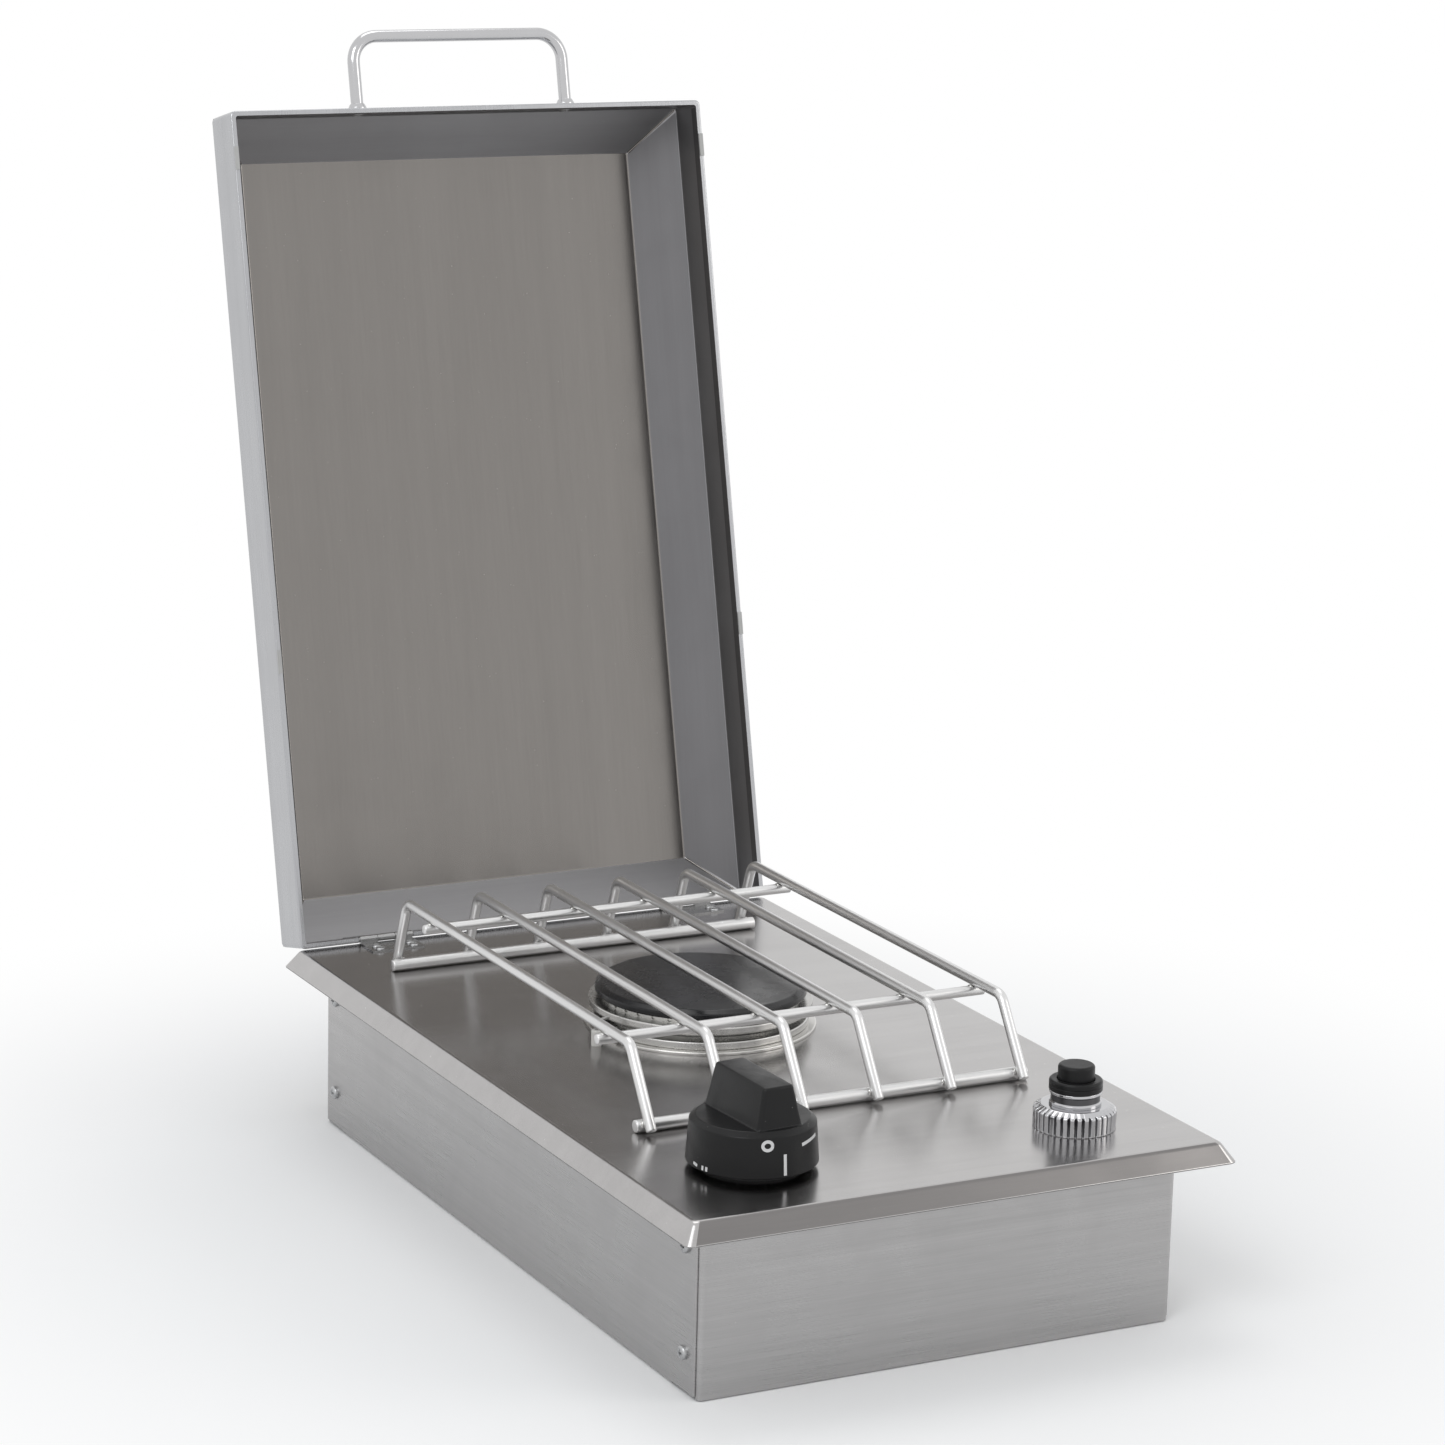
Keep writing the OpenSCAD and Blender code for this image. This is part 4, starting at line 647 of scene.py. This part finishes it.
# ---------- lid handle ----------
# A bent round bar, polished and plated, stands off the lid's front skirt on two turned ferrules. A screw
# comes through the skirt into each leg.
chrome = steel("bright_chrome", (0.53, 0.53, 0.54), 0.12, (500, 500, 500),
               lines=0.02, bands=0.04, bump=0.03, smudge=0.04)
face_y, leg_x, leg_z = lid_middle[1] - lid_half_y, 70, 11.5
root_y, bow_y = face_y - 1.2, face_y - 45
handle_path = eased([(-leg_x, root_y, leg_z), (-leg_x, bow_y, leg_z), (leg_x, bow_y, leg_z),
                     (leg_x, root_y, leg_z)], [0, 16, 16, 0], 14)
piece("lid_handle_bar", [moved(bar(handle_path, 3.8, (0, 0, 1), 32, 0.4), on_lid)], chrome, "lid",
      ["lid_handle"])
ferrule_line = eased([(2.05, 0), (5.6, 0), (5.6, 1.6), (4.4, 4.0), (2.05, 4.0)], [0, 0.3, 0.8, 0.4, 0], 4,
                     closed=True, hold=0.05)
ferrules = []
handle_heads = []
for x in (-leg_x, leg_x):
    ferrules += stood([turned(ferrule_line, 48)], (x, face_y, leg_z), (0, -1, 0))
    handle_heads += stood(crossed_head(4.0, 2.4, 2.0, 12.0), (x, face_y + 1.0, leg_z), (0, 1, 0))
piece("handle_ferrule_rings", moved_all(ferrules, on_lid), chrome, "lid",
      ["handle_ferrules"])
piece("handle_screw_heads", moved_all(handle_heads, on_lid), zinc, "lid", ["handle_screws"])

# ---------- grate ----------
# Six bent wires carry the pan. Two stout rods join their feet and two thinner ones pass under their tops;
# every crossing is spot welded before the whole grate is chrome plated.
wire_chrome = steel("wire_chrome", (0.78, 0.775, 0.77), 0.32, (500, 60, 500),
                    lines=0.03, bands=0.06, bump=0.04, smudge=0.05)
wire_nodes = ["grate_wire_%d" % number for number in range(1, 7)]
wire_xs = [middle_of(wire)[0] for wire in wire_nodes]
wire_foot_z, wire_top_z = 108.42, 149.6
wire_path = eased([(0, -138.9, wire_foot_z), (0, -111.5, wire_top_z), (0, 186, wire_top_z),
                   (0, 201.59, wire_foot_z)], [0, 9, 9, 0], 12)
for wire, x in zip(wire_nodes, wire_xs):
    piece(wire.replace("wire", "bar"), [bar(wire_path + [x, 0, 0], 3.0, (1, 0, 0), 28, 0.8)], wire_chrome,
          "grate", [wire])


def cross_rod(y, z, r):
    """Straight rod across all the wires and 6 mm past the outer ones."""
    line = np.linspace(wire_xs[0] - 6, wire_xs[-1] + 6, 24)
    return bar(np.column_stack([line, np.full(24, y), np.full(24, z)]), r, (0, 1, 0), 28, 0.8)


piece("grate_foot_rods", [cross_rod(y, 109.7, 3.5) for y in (-130.47, 194.37)], wire_chrome, "grate",
      ["grate_lower_rods"])
top_rod_ys = (-82, 148.5)
piece("grate_top_rods", [cross_rod(y, 143.8, 3.0) for y in top_rod_ys], wire_chrome, "grate",
      ["grate_upper_rods"])


def bead(at, half, phase):
    """Weld bead: an ellipsoid whose radius is swelled by a low wave round and along it."""
    lat = np.linspace(-np.pi / 2, np.pi / 2, 7)[:, None]
    lon = np.linspace(0, 2 * np.pi, 10, endpoint=False)
    swell = 1 + 0.12 * np.sin(3 * lon + phase) * np.cos(lat) + 0.08 * np.sin(4 * lat + phase)
    shape = round_axis(np.cos(lat), lon, np.sin(lat)) * swell[..., None]
    return lofted(shape * half + at)


beads = []
for number, x in enumerate(wire_xs):
    for side in (-1, 1):
        phase = 1.7 * number + side
        for y in top_rod_ys:
            beads.append(bead((x + side * 2.3, y, 146.4), (1.5, 1.9, 1.0), phase))
        for y, z in ((-133.2, 111.2), (197.3, 110.9)):
            beads.append(bead((x + side * 2.5, y, z), (1.4, 1.2, 2.0), phase + 2))
weld = steel("weld_bead", (0.66, 0.655, 0.64), 0.2, (700, 700, 700),
             lines=0.1, bands=0.2, bump=0.3, smudge=0.15)
piece("grate_weld_beads", beads, weld, "grate", sharp=80)

# ---------- burner ----------
# A bright trim ring lies round the hole in the deck. On it stand the alloy base, the turned head with its
# ring of flame ports, and the loose enamelled cap.
alloy = steel("burner_alloy", (0.58, 0.575, 0.56), 0.2, (260, 260, 900),
              lines=0.08, bands=0.12, bump=0.15, smudge=0.12)
trim_steel = steel("trim_steel", (0.62, 0.61, 0.59), 0.12, (200, 200, 200), lines=0.04, bands=0.05, bump=0.06)


def at_burner(parts):
    """Parts moved onto the burner's upright axis, with their heights taken from the deck's top."""
    return moved_all(parts, Matrix.Translation((*burner_xy, deck_top)))


trim_line = eased([(40, 0), (67, 0), (67, 2), (40, 2)], [0.2, 0.3, 0.9, 0.4], 5, True, 0.1)
piece("burner_trim", at_burner([turned(trim_line, 144)]), trim_steel, "box",
      ["burner_trim_ring"])
base_line = eased([(21, 6.5), (21, -16), (24, -16), (24, 2), (62.5, 2), (62.5, 6.5)],
                  [0.3, 0.3, 0.6, 0.5, 0.5, 1.0], 5, True, 0.1)
piece("burner_base_casting", at_burner([turned(base_line, 144)]), alloy, "box",
      ["burner_base"])
head_line = eased([(21, 6.5), (52, 6.5), (52, 9.5), (62, 9.5), (64.5, 11.7), (64.5, 15.5), (57.2, 15.5),
                   (56.2, 15.5), (56.2, 18.35), (46, 18.35), (46, 9.5), (21, 9.5)],
                  [0.2, 0.2, 0.4, 1.0, 1.2, 0.8, 0, 0, 0.1, 0.4, 1.5, 0.3], 5, True, 0.05)


def ported_wall():
    """Wall of the flame ring: radius 57 mm, sunk 2.2 mm inside each of 36 ports, whose edge is a circle of
    1.1 mm on the unrolled wall; the back is a plain wall."""
    wall_r, ports, low_z, high_z = 57.0, 36, 15.45, 18.4
    a = np.linspace(0, 2 * np.pi, ports * 24, endpoint=False)
    z = np.linspace(low_z, high_z, 22)[:, None]
    arc = ((a * ports / (2 * np.pi)) % 1.0 - 0.5) * (2 * np.pi * wall_r / ports)
    from_port = np.hypot(arc, z - 17.0)
    r = wall_r - 2.2 * np.clip((1.15 - from_port) / 0.16, 0, 1)
    back_z = np.array([high_z, low_z])[:, None]
    return lofted(np.concatenate([round_axis(r, a, z), round_axis(wall_r - 1, a, back_z)]), along=True)


piece("burner_head_casting", at_burner([turned(head_line, 144), ported_wall()]), alloy, "box",
      ["burner_head"])


def coloured(name, tone, rough, grit, bump, mottle=0.15, coat=0.0, gleam=0.5):
    """Moulded, enamelled or glazed finish. The colour is the tone with a faint mottle and pale dust; a fine
    noise makes the bump, and the roughness rises in the smudges."""
    made, tree, shade = new_finish(name)
    feed(tree, shade, {"Specular IOR Level": gleam})
    if coat:
        feed(tree, shade, {"Coat Weight": coat, "Coat Roughness": 0.12})
    marks = placed(tree, handling, {"Size": 45.0})
    cloud = calc(tree, "SUBTRACT", noise(tree, place_on(tree), 70.0, 4.0), 0.5)
    shift = calc(tree, "ADD", calc(tree, "MULTIPLY", cloud, 2 * mottle), 0.5, clamp=True)
    dust = calc(tree, "MULTIPLY", marks.outputs["Dust"], 0.35)
    dusty = mixed(tree, dust, tinted(tree, tone, shift, 0.4, 1.6), (0.42, 0.41, 0.39, 1))
    haze = calc(tree, "ADD", calc(tree, "MULTIPLY", marks.outputs["Smudge"], 0.15), rough, clamp=True)
    grained = embossed(tree, noise(tree, place_on(tree), grit, 3.0), bump, 0.0004)
    feed(tree, shade, {"Base Color": dusty, "Roughness": haze, "Normal": grained})
    return made


enamel = coloured("black_enamel", (0.008, 0.008, 0.0095), 0.2, 240.0, 0.1, coat=0.1, gleam=0.35)
cap_line = eased([(0, 18.6), (41, 18.6), (41, 15.6), (45, 15.6), (45, 18.6), (60.2, 18.6), (61, 19.6),
                  (61, 22.1), (57.5, 24.2), (0, 24.2)],
                 [0, 0, 0.3, 0.3, 0, 0.5, 0.5, 1.2, 2.5, 0], 5, hold=0.05)
piece("burner_cap_enamel", at_burner([turned(cap_line, 144, closed=False)]), enamel, "burner_cap",
      ["burner_cap"])

# ---------- knob ----------
# The knob is one satin black moulding: a tall skirt with a broad wedge of a grip across it. Plain white index
# marks are printed on the skirt. It turns over a dark escutcheon ring on the deck, which hides the stem hole;
# its dark colour also stands in as painted shade in the gap under the skirt.
black_plastic = coloured("black_plastic", (0.008, 0.008, 0.0085), 0.3, 900.0, 0.12, gleam=0.24)
dark_plastic = coloured("dark_plastic", (0.03, 0.03, 0.032), 0.5, 500.0, 0.2)
white_ink = coloured("white_ink", (0.82, 0.82, 0.82), 0.5, 700.0, 0.1)
knob_at = Matrix.Translation((*knob_xy, ends("knob")[0][2]))
skirt_h, skirt_foot_r, skirt_slope = 24.5, 35.0, 1.6 / 21.5
skirt_line = eased([(8, skirt_h), (30, skirt_h), (33.4, 22), (skirt_foot_r, 0.5), (34.4, 0), (32, 0),
                    (30.4, 19.5), (28, 21.5), (8, 21.5)], [0.2, 1.2, 1.4, 0.3, 0.2, 0.3, 1.0, 1.0, 0.2], 6,
                   True, 0.1)
hub_line = eased([(4.0, 2.6), (8, 2.6), (8, 23), (4.0, 23)], [0.2, 0.4, 0.2, 0.2], 3, True, 0.05)


def grip():
    """Bar grip: rounded rectangles that shrink in a straight line from 27 by 55 mm at the skirt to 18 by
    50 mm at 46 mm up. The top slopes up by 1 mm to the rear, a hollow round of 0.8 mm meets the skirt, and
    the upper edge is a quarter circle of 1.4 mm."""
    a = np.linspace(0, np.pi / 2, 6)
    crown, hollow, edge = 46.5, 0.8, 1.4
    climb = np.linspace(0, 1, 9)[1:-1]
    z = np.concatenate([[22.0], skirt_h + hollow * (1 - np.cos(a)),
                        skirt_h + hollow + climb * (crown - skirt_h - hollow - edge),
                        crown - edge + edge * np.sin(a)])
    out = np.concatenate([[hollow], hollow * (1 - np.sin(a)), 0 * climb, -edge * (1 - np.cos(a))])
    share = np.clip((z - skirt_h) / (crown - skirt_h), 0, 1)
    rings = []
    for height, swell, part in zip(z, out, share):
        ring = rectangle(13.5 - 4.5 * part + swell, 27.5 - 2.5 * part + swell, 2.5 + swell, height)
        ring[:, 2] += 0.5 * part * ring[:, 1] / 25
        rings.append(ring)
    return lofted(rings, caps=True)


grip_turn = Matrix.Rotation(math.radians(4), 4, "Z")
knob_parts = [turned(skirt_line, 128), turned(hub_line, 48), moved(grip(), grip_turn)]
piece("knob_moulding", moved_all(knob_parts, knob_at), black_plastic, "knob", ["knob"])


def skirt_mark(angles, heights, width):
    """Printed mark: a band 'width' wide along a line of (angle, height) on the skirt, 0.05 mm proud of it.
    The skirt's radius falls in a straight line from its foot, and the line is laid out at 34 mm from the
    axis."""
    unrolled_r = 34
    a = np.radians(np.asarray(angles, float))
    h = np.asarray(heights, float)
    line = np.stack([a * unrolled_r, h], -1)
    run = np.gradient(line, axis=0)
    run /= np.linalg.norm(run, axis=1)[:, None]
    side = np.stack([-run[:, 1], run[:, 0]], -1) * width / 2
    rows = []
    for edge, lift in ((-1, 0.05), (1, 0.05), (1, -0.2), (-1, -0.2)):
        q = line + edge * side
        r = skirt_foot_r - skirt_slope * (q[:, 1] - 0.5) + lift
        turn = q[:, 0] / unrolled_r
        rows.append(np.stack([r * np.sin(turn), -r * np.cos(turn), q[:, 1]], -1))
    return lofted(np.stack(rows, 1), caps=True)


round_mark = np.linspace(0, 2 * np.pi, 25)
marks = [skirt_mark([1.8, 1.8], [1.4, 12.6], 1.7),
         skirt_mark(-14.5 + 4.4 * np.cos(round_mark), 17.8 + 2.3 * np.sin(round_mark), 1.7),
         skirt_mark(np.linspace(21, 46, 12), np.linspace(15.6, 17.2, 12), 1.8),
         skirt_mark([-88, -82], [2.8, 2.2], 1.6), skirt_mark([-76, -69], [2.1, 2.1], 2.4)]
piece("knob_marks", moved_all(marks, knob_at), white_ink, "knob")
# The escutcheon's dark plastic is partly painted shade for the gap under the knob's skirt.
escutcheon_line = eased([(6.5, 0), (27, 0), (27, 2), (6.5, 2)], [0.1, 0.1, 0.7, 0.2], 4, True, 0.05)
piece("knob_escutcheon_ring",
      [moved(turned(escutcheon_line, 96), Matrix.Translation((*knob_xy, deck_top)))],
      dark_plastic, "box", ["knob_escutcheon"])

# ---------- igniter ----------
# The push igniter is held in the deck by a tall knurled chrome nut. A necked chrome collar, a black battery
# cap and the black push button stand on it.
igniter_chrome = steel("igniter_chrome", (0.52, 0.52, 0.535), 0.08, (400, 400, 400),
                       lines=0.02, bands=0.05, bump=0.03, smudge=0.05)


def at_igniter(parts):
    """Parts moved onto the igniter's upright axis, with their heights taken from the deck's top."""
    return moved_all(parts, Matrix.Translation((*igniter_xy, deck_top)))


def knurled():
    """Bezel nut: a turned profile whose radius is cut by 36 round-bottomed grooves, 1.3 mm deep at the rim
    and fading out towards the top face. The faces down in the grooves take the second finish, a dark steel
    that is painted shade."""
    grooves = 36
    line = eased([(11.05, 0), (22.5, 0), (22.5, 10.6), (18.2, 13), (11.05, 13)], [0.1, 0.6, 1.6, 1.6, 0.3], 6,
                 True, 0.1)
    a = np.linspace(0, 2 * np.pi, grooves * 12, endpoint=False)
    groove = np.clip(np.cos(grooves * a), 0, 1) ** 1.2
    inwards = np.interp(line[:, 0], [18.4, 22.0], [0.0, 1.0])
    upwards = np.interp(line[:, 1], [0, 0.8, 10.6, 12.9], [0.4, 1, 1, 0.1])
    cut = (inwards * upwards)[:, None] * groove
    sunk = cut + np.roll(cut, -1, 1) + np.roll(cut, -1, 0) + np.roll(cut, (-1, -1), (0, 1))
    paint = (sunk > 2.2).astype(int).ravel()
    return lofted(round_axis(line[:, :1] - 1.3 * cut, a, line[:, 1:]), along=True, paint=paint)


# A dark steel painted into the nut's grooves as painted shade, and into the collar's neck as a painted dark
# reflection.
painted_shade_and_reflection_steel = steel("groove_shade_neck_reflection_painted", (0.10, 0.10, 0.105), 0.3, (400, 400, 400), lines=0.1, bands=0.2, bump=0.1)
piece("igniter_nut", at_igniter([knurled()]), [igniter_chrome, painted_shade_and_reflection_steel], "box",
      ["igniter_bezel_nut"], sharp=60)
collar_line = eased([(11.05, 13), (14.2, 13), (14.2, 14.6), (13.3, 15.4), (13.3, 18.6), (14.2, 19.4),
                     (14.2, 21), (12, 21), (12, 14), (11.05, 14)],
                    [0.1, 0.2, 0.3, 0.3, 0.3, 0.3, 0.6, 0.1, 0.1, 0.1], 4, True, 0.04)
# The neck's faces take the dark steel: a painted reflection on the chrome.
neck = (collar_line[:, 1] > 15.0) & (collar_line[:, 1] < 18.9) & (collar_line[:, 0] > 12.5)
piece("igniter_collar_ring", at_igniter([turned(collar_line, 96, paint=np.repeat(neck.astype(int), 96))]),
      [igniter_chrome, painted_shade_and_reflection_steel], "box", ["igniter_collar"])
cap_ring_line = eased([(10.3, 24), (12, 24), (12, 21), (14.5, 21), (14.5, 23.3), (14.1, 23.7),
                       (14.5, 24.1), (14.5, 27), (10.3, 27)],
                      [0.1, 0.1, 0.1, 0.3, 0.2, 0.2, 0.2, 1.4, 0.5], 5, True, 0.04)
piece("igniter_cap_ring", at_igniter([turned(cap_ring_line, 96)]), black_plastic, "box",
      ["igniter_battery_cap"])
button_line = eased([(0, 19.4), (11.5, 19.4), (11.5, 23.6), (10, 23.6), (10, 35), (0, 35)],
                    [0, 0.2, 0.2, 0.1, 1.8, 0], 6, hold=0.05)
piece("igniter_push_button", at_igniter([turned(button_line, 72, closed=False)]), black_plastic,
      "igniter_button", ["igniter_button"])

# ---------- spark electrode ----------
# A glazed white ceramic sleeve stands through the deck beside the burner, and its bent steel rod reaches to
# the flame ring.
glaze = coloured("white_ceramic", (0.62, 0.61, 0.585), 0.16, 180.0, 0.06, 0.06, coat=0.4)
plain_steel = steel("plain_steel", (0.36, 0.355, 0.35), 0.36, (400, 400, 400),
                    lines=0.12, bands=0.2, bump=0.2)
sleeve_line = eased([(1.05, 90), (3, 90), (3, 99.6), (5, 99.6), (5, 103.6), (3, 103.6), (3, 115),
                     (1.05, 115)], [0.1, 0.3, 0.1, 0.3, 0.3, 0.1, 1.0, 0.3], 4, True, 0.04)
piece("electrode_sleeve", [moved(turned(sleeve_line, 40), Matrix.Translation((*electrode_xy, 0)))], glaze,
      "box", ["electrode_ceramic"])

# ---------- gas inlet ----------
# The turned brass inlet leaves the rear panel through a hexagon lock nut and ends in an outside thread. A
# second hexagon, inside the panel, keeps it from turning.
brass = steel("turned_brass", (0.66, 0.47, 0.20), 0.22, (700, 60, 700), lines=0.08, bands=0.12, bump=0.1)
inlet_x, _, inlet_z = ends("inlet_lock_nut").mean(0)
inlet_at = Matrix.Translation((inlet_x, box_front, inlet_z)) @ Matrix.Rotation(-math.pi / 2, 4, "X")


def hexagon(flat, low, high, bore):
    """Hexagon nut: at each angle the radius is flat / cos of the angle to the nearest face's middle, and no
    more than a cone allows, which takes off its corners at both ends."""
    a = np.linspace(0, 2 * np.pi, 96, endpoint=False)
    off = (a + np.pi / 6) % (np.pi / 3) - np.pi / 6
    z = np.concatenate([[low], np.linspace(low, low + 1.4, 6), np.linspace(high - 1.4, high, 6), [high]])
    depth = np.minimum(z - low, high - z)[:, None]
    r = np.minimum(flat / np.cos(off), flat * 0.98 + 1.7 * depth)
    r[[0, -1]] = bore
    return lofted(round_axis(r, a, z[:, None]), along=True)


def thread(low, high, r, bore):
    """Outside thread: the radius falls by up to 0.7 mm as a triangle wave of the height less the angle's
    share of a 1.34 mm pitch, and the end is chamfered. A plain neck, a hexagon's seat and the bore close
    it."""
    z = np.linspace(low, high, 132)[:, None]
    a = np.linspace(0, 2 * np.pi, 48, endpoint=False)
    turn = ((z - low) / 1.34 - a / (2 * np.pi)) % 1.0
    cut = 0.7 * np.abs(2 * turn - 1) + 0.5 * np.clip(1 - (high - z) / 0.8, 0, 1)
    plain = np.array([(bore, -21.2), (6.4, -21.2), (6.4, -5.2), (8.2, -5.2), (8.2, low - 0.2)])
    start = round_axis(plain[:, :1], a, plain[:, 1:])
    end = round_axis(bore, a, high)[None]
    return lofted(np.concatenate([start, round_axis(r - cut, a, z), end]), along=True)


fitting_parts = [thread(6.5, 24, 8.57, 4.5), hexagon(11.26, -9.2, -1.2, 6.3)]
piece("inlet_fitting", moved_all(fitting_parts, inlet_at), brass, "box", ["gas_inlet_fitting"])
piece("inlet_nut", [moved(hexagon(12.12, 0, 6, 8.3), inlet_at)], brass, "box", ["inlet_lock_nut"])

# ---------- pieces inside the box ----------
# What the box hides keeps its own solid, and so do the hinge leaves and the bumpers: valve, springs, pipes,
# igniter barrel, studs. Each gets the finish that it is made in.
rubber = coloured("black_rubber", (0.02, 0.02, 0.02), 0.7, 400.0, 0.3)
clear_rubber = coloured("clear_rubber", (0.42, 0.42, 0.41), 0.35, 300.0, 0.1)
wrap = coloured("battery_wrap", (0.05, 0.09, 0.3), 0.3, 300.0, 0.05)
hinge_steel = steel("hinge_steel", (0.40, 0.40, 0.40), 0.25, (40, 900, 900), lines=0.1, bands=0.1, bump=0.1)
inside_finishes = {
    hinge_steel: ["left_hinge_base_leaf", "right_hinge_base_leaf", "left_hinge_lid_leaf",
                  "right_hinge_lid_leaf", "hinge_pins"],
    box_steel: ["bottom_panel"],
    zinc: ["deck_studs", "deck_nuts", "burner_screws", "valve_screws", "electrode_bracket", "valve_bracket"],
    plain_steel: ["electrode_rod", "venturi_tube", "air_shutter", "manifold_pipe", "valve_stem",
                  "valve_spring", "igniter_spring", "valve_push_collar"],
    brass: ["gas_valve_body", "gas_orifice"],
    dark_plastic: ["igniter_housing"],
    rubber: ["ignition_lead"],
    clear_rubber: ["lid_bumpers"],
    wrap: ["igniter_battery"],
}
for finish, names in inside_finishes.items():
    for name in names:
        solid = frame["nodes"][name]
        solid.data.materials.clear()
        solid.data.materials.append(finish)

# ---------- floor and light ----------
# A plain pale floor keeps the soft shadow, and away from the object it runs into the white surroundings.
# Soft square lamps light it: a cool one from the left, a weak warm one from the right, one from above.
floor_mesh = bpy.data.meshes.new("floor")
floor_mesh.from_pydata([(-6, -6, 0), (6, -6, 0), (6, 6, 0), (-6, 6, 0)], [], [(0, 1, 2, 3)])
floor = bpy.data.objects.new("floor", floor_mesh)
floor.location.z = -0.0005
bpy.context.scene.collection.objects.link(floor)


def seen_plainly(tree):
    """1 on camera, glossy and transmission rays, which see the white surroundings, and 0 on the others."""
    kind = shader_node(tree, "LightPath", {}).outputs
    seen = calc(tree, "MAXIMUM", kind["Is Camera Ray"], kind["Is Glossy Ray"])
    return calc(tree, "MAXIMUM", seen, kind["Is Transmission Ray"])


floor_white, tree, paint = new_finish("floor_white")
feed(tree, paint, {"Base Color": (0.97, 0.97, 0.97, 1), "Roughness": 1.0, "Specular IOR Level": 0.0})
plain_white = shader_node(tree, "Emission", {})
away = shader_node(tree, "VectorMath", {0: place_on(tree)}, operation="LENGTH").outputs["Value"]
share = calc(tree, "MULTIPLY", ramp(tree, away, 0.25, 0.7), seen_plainly(tree))
blend_white = shader_node(tree, "MixShader", {0: share, 1: paint.outputs[0], 2: plain_white.outputs[0]})
feed(tree, tree.nodes["Material Output"], {"Surface": blend_white.outputs[0]})
floor_mesh.materials.append(floor_white)

world = bpy.data.worlds.new("studio")
world.use_nodes = True
bpy.context.scene.world = world
tree = world.node_tree
soft = feed(tree, tree.nodes["Background"], {"Color": (0.97, 0.985, 1.0, 1), "Strength": 0.68})
white = shader_node(tree, "Background", {"Color": (1, 1, 1, 1), "Strength": 1.0})
choose = shader_node(tree, "MixShader", {0: seen_plainly(tree), 1: soft.outputs[0], 2: white.outputs[0]})
feed(tree, tree.nodes["World Output"], {"Surface": choose.outputs[0]})


def softbox(name, at, width, watts, tone):
    """A square lamp turned to face the middle of the object, 0.2 m up."""
    lamp = bpy.data.lights.new(name, "AREA")
    lamp.shape = "SQUARE"
    lamp.size = width
    lamp.energy = watts
    lamp.color = tone
    holder = bpy.data.objects.new(name, lamp)
    holder.location = at
    holder.rotation_euler = (Vector((0, 0, 0.2)) - Vector(at)).to_track_quat("-Z", "Y").to_euler()
    bpy.context.scene.collection.objects.link(holder)


softbox("key_softbox", (-1.9, -1.3, 2.3), 1.5, 22, (0.97, 0.985, 1.0))
softbox("fill_softbox", (2.2, -1.6, 1.4), 1.2, 8, (1, 0.97, 0.93))
softbox("top_softbox", (0.2, 0.9, 2.8), 1.4, 9, (1, 1, 1))

bpy.context.scene.view_settings.view_transform = "Standard"
